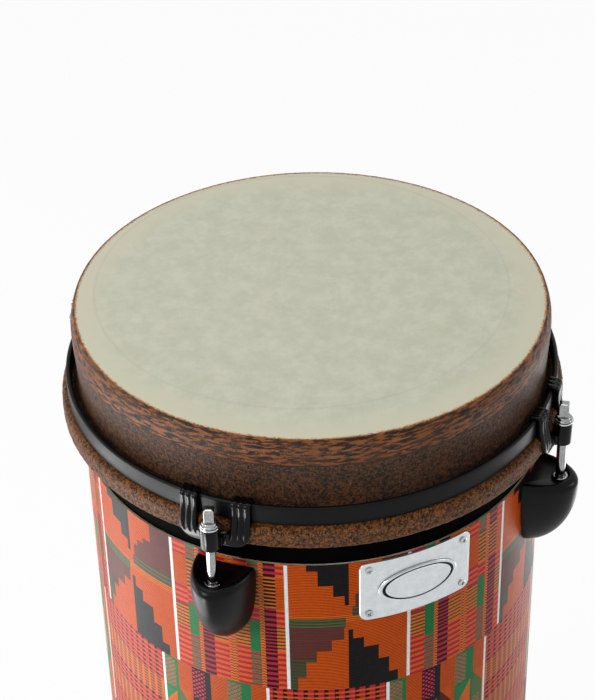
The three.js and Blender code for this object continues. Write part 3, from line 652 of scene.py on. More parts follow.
def skinned(loops: Sequence[np.ndarray], capped: bool = True) -> Shape:
    """Skins closed loops of the same length, one to the next.

    Args:
        loops: The loops' points.
        capped: Whether the first and the last loop are each closed with a fan.

    Returns:
        Points and faces.
    """
    count = len(loops[0])
    points = [p for loop in loops for p in loop]
    faces = []
    for ring in range(len(loops) - 1):
        for i in range(count):
            a, b = ring * count + i, ring * count + (i + 1) % count
            faces.append((a, b, b + count, a + count))
    ends = ((loops[0], 0), (loops[-1], (len(loops) - 1) * count)) if capped else ()
    for loop, base in ends:
        points.append(np.mean(loop, axis=0))
        faces += [(base + i, base + (i + 1) % count, len(points) - 1) for i in range(count)]
    return np.array(points), faces


def joined(shapes: Sequence[Shape]) -> Shape:
    """Puts shapes side by side in one.

    Args:
        shapes: Points and faces of each.

    Returns:
        Points and faces of them all.
    """
    faces, base = [], 0
    for points, part in shapes:
        faces += [[corner + base for corner in face] for face in part]
        base += len(points)
    return np.concatenate([points for points, _ in shapes]), faces


def settle(
    name: str,
    mesh: bpy.types.Mesh,
    finishes: Sequence[Finish],
    body: str,
    slot: str,
    *nodes: str,
    which: Sequence[int] | None = None,
) -> bpy.types.Object:
    """Puts a mesh in the scene as a piece that rides on its body in place of its nodes.

    Args:
        name: The piece's name.
        mesh: Its mesh.
        finishes: Its finishes, one for each material slot.
        body: The body that carries it.
        slot: Its colour slot; it is not used.
        nodes: The nodes that it takes the place of.
        which: The number of each face's finish, where a piece has two.

    Returns:
        The piece.
    """
    piece = bpy.data.objects.new(name, mesh)
    bpy.context.scene.collection.objects.link(piece)
    mesh.materials.clear()
    for finish in finishes:
        mesh.materials.append(finish.material())
    if which is not None:
        mesh.polygons.foreach_set("material_index", which)
    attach(piece, body)
    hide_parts(*nodes)
    log.info("%s rides on %s: %d faces", name, body, len(mesh.polygons))
    return piece


# Node tools


@dataclass
class NodeTool:
    """A Geometry Nodes tree with named inputs, made once and then used on hosts."""

    tree: Tree = field(init=False)

    title: ClassVar[str] = "tool"
    sockets: ClassVar[dict[str, str]] = {}

    def __post_init__(self) -> None:
        """Makes the tree, its sockets and its two end nodes, then fills it."""
        self.tree = bpy.data.node_groups.new(self.title, "GeometryNodeTree")
        face = self.tree.interface
        for name, kind in {"Host": "Geometry", **self.sockets, "Finish": "Material"}.items():
            face.new_socket(name, in_out="INPUT", socket_type=f"NodeSocket{kind}")
        face.new_socket("Piece", in_out="OUTPUT", socket_type="NodeSocketGeometry")
        given = add_node(self.tree, "NodeGroupInput")
        real = add_node(self.tree, "GeometryNodeRealizeInstances", self.fill(given))
        dressed = {"Geometry": real, "Material": given["Finish"]}
        done = add_node(self.tree, "GeometryNodeSetMaterial", **dressed)
        add_node(self.tree, "NodeGroupOutput", done)

    def fill(self, given: Field) -> Field:
        """Adds the tool's own nodes, fed by its named inputs, and gives the shape."""
        raise NotImplementedError

    def use(
        self,
        name: str,
        host: np.ndarray | bpy.types.Mesh,
        finish: Finish,
        sharp: float,
        **sizes: float,
    ) -> bpy.types.Mesh:
        """Runs the tree on a host and keeps the result as a plain mesh.

        Args:
            name: The new mesh's name.
            host: The host's points in millimetres, or its mesh.
            finish: The finish that the tree sets.
            sharp: Edges that turn further than this, in degrees, stay sharp.
            sizes: The named inputs, with spaces as underscores.

        Returns:
            The plain mesh.
        """
        if not isinstance(host, bpy.types.Mesh):
            points = (host * MM).tolist()
            host = bpy.data.meshes.new(f"{name}_host")
            host.from_pydata(points, [], [])
        stand = bpy.data.objects.new(f"{name}_host", host)
        bpy.context.scene.collection.objects.link(stand)
        modifier = stand.modifiers.new(self.title, "NODES")
        modifier.node_group = self.tree
        items = self.tree.interface.items_tree
        keys = {item.name: item.identifier for item in items if item.in_out == "INPUT"}
        modifier[keys["Finish"]] = finish.material()
        for size, value in sizes.items():
            modifier[keys[size.replace("_", " ")]] = value
        graph = bpy.context.evaluated_depsgraph_get()
        made = bpy.data.meshes.new_from_object(stand.evaluated_get(graph))
        stand.modifiers.remove(modifier)
        bpy.data.objects.remove(stand)
        made.name = name
        made.shade_smooth()
        made.set_sharp_from_angle(angle=math.radians(sharp))
        return made


@dataclass
class TurnedRing(NodeTool):
    """Turns a closed profile of points, across along X and height along Z, about the axis."""

    title = "turned_ring"
    sockets = {
        "Steps": "Int",
        "Rows": "Int",
        "Grain depth": "Float",
        "Grain size": "Float",
        "Seed": "Float",
    }

    def fill(self, given: Field) -> Field:
        """Wraps a grid round the axis by the profile's rows, then roughens it outwards.

        Args:
            given: The tree's inputs.

        Returns:
            The ring.
        """
        tree = self.tree
        counts = {"Vertices_X": given["Steps"] + 1, "Vertices_Y": given["Rows"] + 1}
        grid = add_node(tree, "GeometryNodeMeshGrid", Size_X=1.0, Size_Y=1.0, **counts)
        here = add_node(tree, "GeometryNodeInputPosition")
        parts = add_node(tree, "ShaderNodeSeparateXYZ", here)
        angle = parts * (2 * math.pi) + math.pi
        row = (parts[1] + 0.5) * given["Rows"]
        row = add_node(tree, "ShaderNodeMath", row, operation="ROUND") % given["Rows"]
        sample = {"Geometry": given["Host"], "Value": here, "Index": row}
        edge = add_node(tree, "GeometryNodeSampleIndex", data_type="FLOAT_VECTOR", **sample)
        edge = add_node(tree, "ShaderNodeSeparateXYZ", edge)
        sine, cosine = (
            add_node(tree, "ShaderNodeMath", angle, operation=way) for way in ("SINE", "COSINE")
        )
        place = (edge * sine, edge * cosine * -1.0, edge[2])
        place = add_node(tree, "ShaderNodeCombineXYZ", *place)
        ring = add_node(tree, "GeometryNodeSetPosition", Geometry=grid, Position=place)
        ring = add_node(tree, "GeometryNodeMergeByDistance", Geometry=ring, Distance=1e-6)
        size = add_node(tree, "ShaderNodeMath", 1.0, given["Grain size"], operation="DIVIDE")
        noise = {"Vector": here, "W": given["Seed"], "Scale": size, "Detail": 3, "Roughness": 0.65}
        grain = add_node(tree, "ShaderNodeTexNoise", noise_dimensions="4D", **noise)
        push = (grain - 0.5) * given["Grain depth"]
        outward = add_node(tree, "GeometryNodeInputNormal")
        offset = add_node(tree, "ShaderNodeVectorMath", outward, Scale=push, operation="SCALE")
        return add_node(tree, "GeometryNodeSetPosition", Geometry=ring, Offset=offset)

    def ring(
        self,
        name: str,
        profile: Sequence[Point],
        finish: Finish,
        steps: int = 192,
        depth: float = 0.0,
        size: float = 3.0,
        seed: float = 0.0,
        sharp: float = 40,
    ) -> bpy.types.Mesh:
        """Turns one profile, in millimetres.

        Args:
            name: The mesh's name.
            profile: Across and height of each point, closed and anticlockwise.
            finish: The ring's finish.
            steps: Faces round the ring.
            depth: How far the roughness moves the surface, in millimetres.
            size: How large its lumps are, in millimetres.
            seed: Which roughness it is.
            sharp: Edges that turn further than this, in degrees, stay sharp.

        Returns:
            The ring's mesh.
        """
        points = np.array([(r, 0.0, z) for r, z in profile])
        counts = {"Steps": steps, "Rows": len(profile)}
        rough = {"Grain_depth": depth * 2 * MM, "Grain_size": size * MM, "Seed": seed}
        return self.use(name, points, finish, sharp, **counts, **rough)


@dataclass
class RolledThread(NodeTool):
    """Rolls a right-hand thread into the part of a rod, stood on the origin, below a height."""

    title = "rolled_thread"
    sockets = {"Pitch": "Float", "Depth": "Float", "Top": "Float", "Runout": "Float"}

    def fill(self, given: Field) -> Field:
        """Draws the surface in towards the axis along a helix that fades out at its top.

        Args:
            given: The tree's inputs.

        Returns:
            The threaded rod.
        """
        tree = self.tree
        here = add_node(tree, "GeometryNodeInputPosition")
        parts = add_node(tree, "ShaderNodeSeparateXYZ", here)
        angle = add_node(tree, "ShaderNodeMath", parts[1], parts, operation="ARCTAN2")
        climb = parts[2] / given["Pitch"] - angle * (0.5 / math.pi)
        tooth = abs(climb % 1.0 - 0.5) * 2.0
        below = (given["Top"] - parts[2]) / given["Runout"]
        fade = add_node(tree, "ShaderNodeClamp", below, 0.0, 1.0)
        depth = tooth * given["Depth"] * fade * -1.0
        flat = add_node(tree, "ShaderNodeCombineXYZ", parts, parts[1])
        way = add_node(tree, "ShaderNodeVectorMath", flat, operation="NORMALIZE")
        offset = add_node(tree, "ShaderNodeVectorMath", way, Scale=depth, operation="SCALE")
        return add_node(tree, "GeometryNodeSetPosition", Geometry=given["Host"], Offset=offset)


@dataclass
class PanHeadScrews(NodeTool):
    """Stands a cross-recessed pan-head screw on each of the host's points, along its aim."""

    title = "pan_head_screws"
    sockets = {
        "Head radius": "Float",
        "Head height": "Float",
        "Shank radius": "Float",
        "Shank length": "Float",
        "Recess": "Float",
    }

    def head(self, given: Field) -> Field:
        """Domes a short cylinder into a head and cuts the cross in it.

        Args:
            given: The tree's inputs.

        Returns:
            The head, with its seat at the origin.
        """
        tree, high, radius = self.tree, given["Head height"], given["Head radius"]
        counts = {"Vertices": 28, "Side_Segments": 3, "Fill_Segments": 5}
        head = add_node(tree, "GeometryNodeMeshCylinder", Radius=radius, Depth=high, **counts)
        here = add_node(tree, "GeometryNodeInputPosition")
        parts = add_node(tree, "ShaderNodeSeparateXYZ", here)
        flat = add_node(tree, "ShaderNodeCombineXYZ", parts, parts[1])
        reach = add_node(tree, "ShaderNodeVectorMath", flat, operation="LENGTH")[1]
        share = add_node(tree, "ShaderNodeMath", reach / radius, 3.0, operation="POWER")
        lift = (high * 0.5 + parts[2]) * (share * -0.5 + 1.0)
        place = add_node(tree, "ShaderNodeCombineXYZ", parts, parts[1], lift)
        head = add_node(tree, "GeometryNodeSetPosition", Geometry=head, Position=place)
        rise = add_node(tree, "ShaderNodeCombineXYZ", Z=high * 0.95)
        arm, slit = radius * 1.15, given["Recess"]
        for across, along in ((slit, arm), (arm, slit)):
            size = add_node(tree, "ShaderNodeCombineXYZ", across, along, high)
            cube = add_node(tree, "GeometryNodeMeshCube", Size=size)
            cutter = add_node(tree, "GeometryNodeTransform", Geometry=cube, Translation=rise)
            head = add_node(tree, "GeometryNodeMeshBoolean", head, cutter, operation="DIFFERENCE")
        return head

    def fill(self, given: Field) -> Field:
        """Joins the head and its shank, and stands one on each point with its own turn.

        Args:
            given: The tree's inputs.

        Returns:
            All the screws, as instances.
        """
        tree, length = self.tree, given["Shank length"]
        stem = {"Vertices": 20, "Radius": given["Shank radius"], "Depth": length}
        stem = add_node(tree, "GeometryNodeMeshCylinder", **stem)
        sink = add_node(tree, "ShaderNodeCombineXYZ", Z=length * -0.499)
        stem = add_node(tree, "GeometryNodeTransform", Geometry=stem, Translation=sink)
        whole = add_node(tree, "GeometryNodeJoinGeometry", self.head(given))
        tree.links.new(stem.node.outputs[0], whole.node.inputs[0])
        aim = {"Name": "aim", "data_type": "FLOAT_VECTOR"}
        aim = add_node(tree, "GeometryNodeInputNamedAttribute", **aim)
        upright = add_node(tree, "FunctionNodeAlignRotationToVector", Vector=aim, axis="Z")
        ends = (None, None, 0.0, 3.1)  # the first two are the ends of a vector
        angle = add_node(tree, "FunctionNodeRandomValue", *ends, Seed=7, data_type="FLOAT")[1]
        spin = {"Axis": (0, 0, 1), "Angle": angle}
        spin = add_node(tree, "FunctionNodeAxisAngleToRotation", **spin)
        facing = {"Rotation": upright, "Rotate_By": spin, "rotation_space": "LOCAL"}
        facing = add_node(tree, "FunctionNodeRotateRotation", **facing)
        spots = add_node(tree, "GeometryNodeMeshToPoints", Mesh=given["Host"])
        stood = {"Points": spots, "Instance": whole, "Rotation": facing}
        return add_node(tree, "GeometryNodeInstanceOnPoints", **stood)

    def screws(
        self,
        name: str,
        seats: Sequence[tuple[float, float, float]],
        outwards: bool,
        **sizes: float,
    ) -> bpy.types.Mesh:
        """Sets screws out round the drum.

        Args:
            name: The mesh's name.
            seats: Azimuth in degrees, radius and height of each head's seat.
            outwards: Whether the heads look away from the drum's axis.
            sizes: The named inputs, in millimetres.

        Returns:
            One mesh of all the screws.
        """
        front = np.array([(0.0, -1.0, 0.0)])
        ways = np.array([turned(front, azimuth)[0] for azimuth, _, _ in seats])
        spots = [way * radius + (0, 0, z) for way, (_, radius, z) in zip(ways, seats)]
        aims = ways if outwards else -ways
        host = bpy.data.meshes.new(f"{name}_seats")
        host.from_pydata((np.array(spots) * MM).tolist(), [], [])
        aim = host.attributes.new("aim", "FLOAT_VECTOR", "POINT")
        aim.data.foreach_set("vector", aims.ravel())
        return self.use(name, host, ZINC, 30, **{size: v * MM for size, v in sizes.items()})


# Shell


@dataclass
class Shell:
    """The fibre tube, the baffle in its base and the sound tube that the baffle carries."""

    rings: TurnedRing
    radius: float = 149.6
    bore: float = 143.2
    top: float = 684.8
    bottom: float = 38.3
    edge: float = 3.2
    baffle_bore: float = 52.3
    baffle_bottom: float = 54.3
    baffle_top: float = 63.3
    tube_bore: float = 48.5
    tube_radius: float = 52.0
    tube_top: float = 384.3

    def build(self) -> None:
        """Builds and dresses the shell, the baffle, the sound tube and its collar."""
        crown = self.radius - self.edge
        turn = arc((crown, self.top - self.edge), self.edge, 0, 90, 8)
        shell = rounded([
            (self.bore, self.bottom, 0.8),
            (self.radius, self.bottom, 0.8),
            *((x, z, 0) for x, z in turn),
            (self.bore, self.top - (crown - self.bore), 0),
        ])
        inner, base, low = self.baffle_bore, self.baffle_bottom, self.baffle_top + 0.3
        baffle = boxed(inner, base, self.bore - 0.3, self.baffle_top, 1.5, 0.6, 0.6, 0.4)
        tube = boxed(self.tube_bore, base, self.tube_radius, self.tube_top, *[0.9] * 4)
        collar = rounded([
            (inner, low, 0.5),
            (inner + 14, low, 1.0),
            (inner + 14, low + 2, 1.0),
            (inner + 7, low + 12, 1.2),
            (inner, low + 12, 0.6),
        ])
        for name, profile, finish, steps, slot, node in (
            ("shell_tube", evened(shell, 40), LACQUER, 192, "shell_fibre", "shell"),
            ("sound_baffle", baffle, BOARD, 192, "fibreboard", "base_baffle"),
            ("wound_sound_tube", tube, TUBE, 96, "tube_board", "resonator_tube"),
            ("sound_tube_collar", collar, BOARD, 96, "fibreboard", "tube_collar"),
        ):
            mesh = self.rings.ring(name, profile, finish, steps)
            settle(name, mesh, [finish], "drum_body", slot, node)


# Covering


class Yarn(Enum):
    """The printed yarns."""

    ORANGE = "#D45E06"
    RUST = "#982E04"
    PINE = "#1B4034"
    AMBER = "#D8700C"
    MAROON = "#B01E3C"
    BROWN = "#4C2A26"
    UMBER = "#5E342E"
    GREEN = "#147A42"
    MOSS = "#26502F"
    BLACK = "#090A0D"
    SOOT = "#0D0F10"
    WHITE = "#E8ECEC"
    ROSE = "#D22C52"


Wave = tuple[float, float, float, float]
NEVER: Wave = (0.0, 0.0, 0.5, 0.0)
ALWAYS: Wave = (0.0, 0.0, 0.0, 1.0)


@dataclass(frozen=True)
class Patch:
    """A rectangle of the cloth in two yarns.

    left, right, top and bottom are millimetres across and down its block. The figure shows
    where both waves do: each is turns a millimetre across and down, a phase and a share.
    rib is how strongly the dark lines between the weft show.
    """

    left: float
    right: float
    top: float
    bottom: float
    ground: Yarn
    figure: Yarn = Yarn.RUST
    first: Wave = NEVER
    second: Wave = ALWAYS
    rib: float = 0.0

    def flipped(self, height: float) -> "Patch":
        """Gives the patch turned upside down in a row of that height.

        Args:
            height: The row's height.

        Returns:
            The flipped patch.
        """
        waves = [
            (fx, -fy, phase + fy * (self.bottom - self.top), share)
            for fx, fy, phase, share in (self.first, self.second)
        ]
        ends = (self.left, self.right, height - self.bottom, height - self.top)
        return Patch(*ends, self.ground, self.figure, *waves, self.rib)

    def laid(self, left: float, right: float, top: float, bottom: float) -> "Patch":
        """Gives the patch laid on the cloth between these ends, its waves starting there.

        Args:
            left: Its left side on the cloth.
            right: Its right side.
            top: Its top.
            bottom: Its bottom.

        Returns:
            The patch on the cloth.
        """
        waves = [
            (fx, fy, phase - fx * left - fy * top, share)
            for fx, fy, phase, share in (self.first, self.second)
        ]
        return Patch(left, right, top, bottom, self.ground, self.figure, *waves, self.rib)


Block = Callable[[], list[Patch]]


def bars(
    left: float,
    right: float,
    top: float,
    bottom: float,
    ground: Yarn,
    figure: Yarn,
    pitch: float = 4.4,
    share: float = 0.5,
    phase: float = 0.0,
) -> Patch:
    """Gives a band of level bars.

    Args:
        left: Its left side on the block.
        right: Its right side.
        top: Its top.
        bottom: Its bottom.
        ground: The yarn between the bars.
        figure: The bars' yarn.
        pitch: Millimetres from one bar to the next.
        share: The share of the pitch that a bar takes.
        phase: Where the first bar starts, in pitches.

    Returns:
        The band's patch.
    """
    return Patch(left, right, top, bottom, ground, figure, (0, 1 / pitch, phase, share), rib=0.12)


def braid(left: float, right: float, top: float, bottom: float) -> list[Patch]:
    """Gives an amber braid of two leaning rows of dark dashes.

    Args:
        left: Its left side on the block.
        right: Its right side.
        top: Its top.
        bottom: Its bottom.

    Returns:
        The patches of its two rows.
    """
    middle = (left + right) / 2
    return [
        Patch(left, middle, top, bottom, Yarn.AMBER, Yarn.MAROON, (0.3, 1 / 2.3, 0.0, 0.42)),
        Patch(middle, right, top, bottom, Yarn.AMBER, Yarn.PINE, (-0.3, 1 / 2.3, 0.4, 0.42)),
    ]


@dataclass
class Covering:
    """The printed cloth round the shell: strips of kente blocks in rows, butted at the back."""

    inner: float = 149.75
    radius: float = 150.95
    top: float = 590.0
    bottom: float = 42.3
    joint: float = 1.0
    block: float = 77.5
    line: float = 2.0
    row: float = 105.6
    step_start: float = -80.1
    check_start: float = -94.1

    def steps(self) -> list[Patch]:
        """Gives the block of stepped black and brown figures on orange.

        Returns:
            The block's patches.
        """
        b = self.block
        black = {"ground": Yarn.BLACK, "figure": Yarn.SOOT, "first": (1 / 1.8, 0, 0, 0.5)}
        brown = {"ground": Yarn.BROWN, "figure": Yarn.UMBER, "pitch": 1.3}
        green = {"ground": Yarn.GREEN, "figure": Yarn.MOSS, "pitch": 1.3}
        moss = {"ground": Yarn.MOSS, "figure": Yarn.BROWN, "pitch": 2.6, "share": 0.4}
        # Each step of a figure: its free side, its top and its bottom
        black_above = ((12.5, 0, 5), (19.4, 5, 17.1), (28.8, 17.1, 26.4), (35.8, 26.4, 34.3))
        brown_above = ((59.5, 0, 15), (52.5, 15, 20), (46.5, 20, 25.5), (42.5, 25.5, 35.8))
        brown_below = ((36.4, 44.4, 52.8), (35.3, 52.8, 62.5), (27.5, 62.5, 71.5))
        moss_below = ((18.0, 78, 81.3), (11.3, 81.3, 94.7), (5.8, 94.7, 105.6))
        black_below = ((41.0, 54.9, 62.5), (47.8, 62.5, 71.1), (57.4, 71.1, 83.3))
        brown_above += ((40.6, 35.8, 44),)
        brown_below += ((18.0, 71.5, 81.3),)
        black_below += ((64.3, 83.3, 96.8), (70.3, 96.8, 105.6))
        return [
            Patch(0, b, 0, self.row, Yarn.ORANGE, rib=1.0),
            Patch(0, b, 41.5, 49, Yarn.AMBER, Yarn.RUST, (0, 1 / 1.6, 0, 0.5)),
            *(Patch(left, 38.5, top, low, **black) for left, top, low in black_above),
            *(bars(left, b, top, low, **brown) for left, top, low in brown_above),
            *(bars(40.6, b, low, low + 1.2, **green) for low in (36.2, 39.4, 42.6)),
            *(bars(0, right, top, low, **brown) for right, top, low in brown_below),
            *(bars(0, 36.4, low, low + 1.3, **green) for low in (45.0, 47.6, 50.0)),
            *(bars(0, right, top, low, **moss) for right, top, low in moss_below),
            *(Patch(38, right, top, low, **black) for right, top, low in black_below),
        ]

    def stripes(self) -> list[Patch]:
        """Gives the block of upright bands of bars and braids.

        Returns:
            The block's patches.
        """
        m, o, g, k, a = Yarn.MAROON, Yarn.ORANGE, Yarn.GREEN, Yarn.BLACK, Yarn.AMBER
        low = self.row
        made = [Patch(0, self.block, 0, low, o, rib=0.9)]
        bands = ((1.2, 11.2, 0.0), (29, 39, 0.5), (44.5, 53.5, 0.0), (70.9, 76.3, 0.5))
        for left, right, phase in bands:
            made += [
                bars(left, right, 0, 11, o, m, phase=phase),
                bars(left, right, 37, 52.4, o, m, phase=phase),
                bars(left, right, 52.4, 72.5, a, Yarn.PINE, 2.9, 0.42),
                bars(left, right, 72.5, low, o, m, phase=phase),
            ]
        for left, right in ((11.2, 18.2), (53.5, 60.3)):
            made += [
                bars(left, right, 0, 11.5, m, g),
                bars(left, right, 11.5, 37, a, Yarn.PINE, 3.2, 0.5),
                bars(left, right, 37, 49, m, o, 4.4, 0.3),
                Patch(left, right, 49, 74.8, g, Yarn.MOSS, (0, 1 / 1.3, 0, 0.3)),
                bars(left, right, 74.8, low, m, g, phase=0.1),
            ]
        for left, right in ((21, 29), (63.3, 70.9)):
            made += [
                bars(left, right, 0, 11.5, m, k),
                bars(left, right, 11.5, 37, k, a, 3.0, 0.42),
                bars(left, right, 37, 52.4, m, k, phase=0.6),
                bars(left, right, 52.4, 74.5, m, k, 2.9, 0.6),
                bars(left, right, 74.5, low, m, k, phase=0.6),
            ]
        for left, right in ((18.2, 21), (60.3, 63.3), (39, 41.8), (41.8, 44.5)):
            made += braid(left, right, 0, low)
        return made

    def checks(self) -> list[Patch]:
        """Gives the block of black dashes between maroon threads, and of green dashes.

        Returns:
            The block's patches.
        """
        b, m, wave = self.block, Yarn.MAROON, (1 / 6.6, 0, 0.515, 0.42)
        made = []
        for start, end in ((0, 26.5), (45.8, self.row / 2)):
            made.append(Patch(0, b, start, end, Yarn.ORANGE, m, wave[:3] + (0.1,), rib=0.35))
            tops = np.arange(start, end - 1.5, 3.9)
            made += [Patch(0, b, top, top + 2.2, m, Yarn.BLACK, wave) for top in tops]
        columns, lines = (1 / 6.6, 0, 0.515, 0.62), (0, 1 / 2.6, 0, 0.6)
        made.append(Patch(0, b, 26.5, 45.8, Yarn.ORANGE, Yarn.PINE, columns, lines))
        return made + [p.flipped(self.row) for p in made]

    def motifs(self) -> list[Patch]:
        """Gives the block of ribbons that are hatched, then lean over and are cut by wedges.

        Returns:
            The block's patches.
        """
        o, g, k, middle = Yarn.ORANGE, Yarn.GREEN, Yarn.BLACK, self.row / 2
        rise, fall = (1 / 4.2, 1 / 3.6, 0, 0.58), (1 / 4.2, -1 / 3.6, 0, 0.58)
        lean, wedge = (1 / 60, -0.7 / 60, 0.5, 0.5), (1 / 60, 0.73 / 60, -12 / 60, 0.5)
        made = [Patch(0, self.block, 0, middle, o, rib=1.0)]
        ribbons = ((1.2, 10.3, 12.8, g), (24, 33.8, 38, k), (50, 59.5, 66.5, g))
        for left, hatch, right, yarn in ribbons:
            shade = Yarn.MOSS if yarn is g else Yarn.SOOT
            made += [
                Patch(left, right, 0, middle, yarn, shade, (0, 1 / 1.3, 0, 0.3)),
                Patch(left, hatch, 1.8, 27, yarn, Yarn.ROSE, rise, fall),
                Patch(right, right + 9, 24.7, middle, o, yarn, lean, rib=0.7),
                Patch(right - 14.5, right - 2.5, 29.5, middle, yarn, o, wedge),
                Patch(right, right + 7, 48, middle, yarn, Yarn.ROSE, rise, fall),
            ]
        return made + [p.flipped(self.row) for p in made]

    def rows(self) -> list[tuple[float, float, Block, Block]]:
        """Gives each row: its top, its first line and its two blocks in turn."""
        steps = (self.step_start, self.steps, self.stripes)
        checks = (self.check_start, self.checks, self.motifs)
        tops = np.arange(0, self.top - self.bottom, self.row)
        return [(top, *(checks if i % 2 else steps)) for i, top in enumerate(tops)]

    def patches(self) -> list[Patch]:
        """Lays every block round the drum.

        Returns:
            Patches in millimetres round from the front and down from the cloth's top edge.
        """
        half = math.pi * self.radius
        white = Patch(0, 0, 0, 0, Yarn.WHITE)
        made = []
        for top, start, even, odd in self.rows():
            bottom = min(top + self.row, self.top - self.bottom)
            for turn in range(-6, 9):
                left = start + turn * self.block
                if left > half or left + self.block < -half:
                    continue
                for p in (odd if turn % 2 else even)():
                    upper, lower = p.top + top, min(p.bottom + top, bottom)
                    right = min(left + p.right, left + self.block)
                    if lower - upper >= 0.05:
                        made.append(p.laid(left + p.left, right, upper, lower))
                sides = (left - self.line / 2, left + self.line / 2)
                made.append(white.laid(*sides, top + 0.6, bottom - 0.6))
        return made

    def grid(self, edges: set[float], low: float, high: float, most: float) -> np.ndarray:
        """Gives the places of grid lines: all edges between two ends, none too far apart.

        Args:
            edges: The places that get a line.
            low: The first line.
            high: The last line.
            most: The widest gap between two lines.

        Returns:
            The lines' places.
        """
        kept = sorted({round(e, 2) for e in edges if low + 0.05 < e < high - 0.05} | {low, high})
        lines = [kept[0]]
        for place in kept[1:]:
            if place - lines[-1] < 0.3:
                continue
            count = math.ceil((place - lines[-1]) / most)
            lines += list(np.linspace(lines[-1], place, count + 1)[1:])
        return np.array(lines)

    def bent(self, across: np.ndarray, down: np.ndarray | float, radius: float) -> np.ndarray:
        """Gives the points of places on the cloth, bent round the drum at a radius."""
        angle = across / self.radius
        high = self.top - down + np.zeros_like(across)
        return np.stack([radius * np.sin(angle), -radius * np.cos(angle), high], -1).reshape(-1, 3)

    def faces(self, nx: int, ny: int) -> tuple[list, list]:
        """Gives the faces of the printed side, and of the back, the ends and the seam.

        Args:
            nx: The points across.
            ny: The points down.

        Returns:
            The printed side's faces, and all the others.
        """
        index = np.arange(nx * ny).reshape(ny, nx)
        over, under = (nx * ny + np.arange(nx) + shift for shift in (0, nx))
        front = [index[1:, :-1], index[1:, 1:], index[:-1, 1:], index[:-1, :-1]]
        back = [over[:-1], over[1:], under[1:], under[:-1]]
        lid = [index[0, :-1], index[0, 1:], over[1:], over[:-1]]
        base = [index[-1, 1:], index[-1, :-1], under[:-1], under[1:]]
        seams = [[*index[:, -1], under[-1], over[-1]], [*index[::-1, 0], over[0], under[0]]]
        quads = (np.stack(side, -1).reshape(-1, 4).tolist() for side in (front, back, lid, base))
        front, *rest = quads
        return front, [face for side in (*rest, seams) for face in side]

    def woven(self, patches: list[Patch], across: np.ndarray, down: np.ndarray) -> dict:
        """Gives the value of each attribute on the faces of the printed side.

        Args:
            patches: The patches on the cloth.
            across: The places of the grid's lines across.
            down: The places of its lines down.

        Returns:
            An array of three numbers a face, by the attribute's name.
        """
        mid_u = ((across[1:] + across[:-1]) / 2)[None, :]
        mid_v = ((down[1:] + down[:-1]) / 2)[:, None]
        names = ("ground", "figure", "first", "second", "fill")
        values = {name: np.zeros((len(down) - 1, len(across) - 1, 3)) for name in names}
        for p in patches:
            inside = (mid_u > p.left) & (mid_u < p.right) & (mid_v > p.top) & (mid_v < p.bottom)
            yarns = (linear(yarn.value)[:3] for yarn in (p.ground, p.figure))
            fill = (p.first[3], p.second[3], p.rib)
            for name, value in zip(names, (*yarns, p.first[:3], p.second[:3], fill)):
                values[name][inside] = value
        return values

    def build(self) -> None:
        """Builds the sheet with its patches as face attributes, and dresses it."""
        patches = self.patches()
        half = math.pi * self.radius - self.joint / 2
        deep = self.top - self.bottom
        across = self.grid({e for p in patches for e in (p.left, p.right)}, -half, half, 7)
        down = self.grid({e for p in patches for e in (p.top, p.bottom)}, 0, deep, 30)
        u, v = np.meshgrid(across, down)
        ends = [self.bent(across, end, self.inner) for end in (0, deep)]
        points = np.concatenate([self.bent(u, v, self.radius), *ends])
        front, hidden = self.faces(len(across), len(down))
        mesh = bpy.data.meshes.new("printed_covering")
        mesh.from_pydata((points * MM).tolist(), [], [*front, *hidden])
        place = np.stack([u.ravel(), v.ravel(), np.ones(u.size)], -1)
        place = np.concatenate([place, np.zeros((2 * len(across), 3))])
        cloth = mesh.attributes.new("cloth", "FLOAT_VECTOR", "POINT")
        cloth.data.foreach_set("vector", place.ravel())
        rest = np.zeros((len(hidden), 3))
        for name, value in self.woven(patches, across, down).items():
            data = np.concatenate([value.reshape(-1, 3), rest])
            attribute = mesh.attributes.new(name, "FLOAT_VECTOR", "FACE")
            attribute.data.foreach_set("vector", data.ravel())
        mesh.shade_smooth()
        mesh.set_sharp_from_angle(angle=math.radians(40))
        ends = ("printed_covering", mesh, [CLOTH, EDGE], "drum_body", "wrap", "shell_wrap")
        sheet = settle(*ends, which=np.repeat([0, 1], [len(front), len(hidden)]))
        flat = (2 * half * MM, deep * MM)


# Head and rim


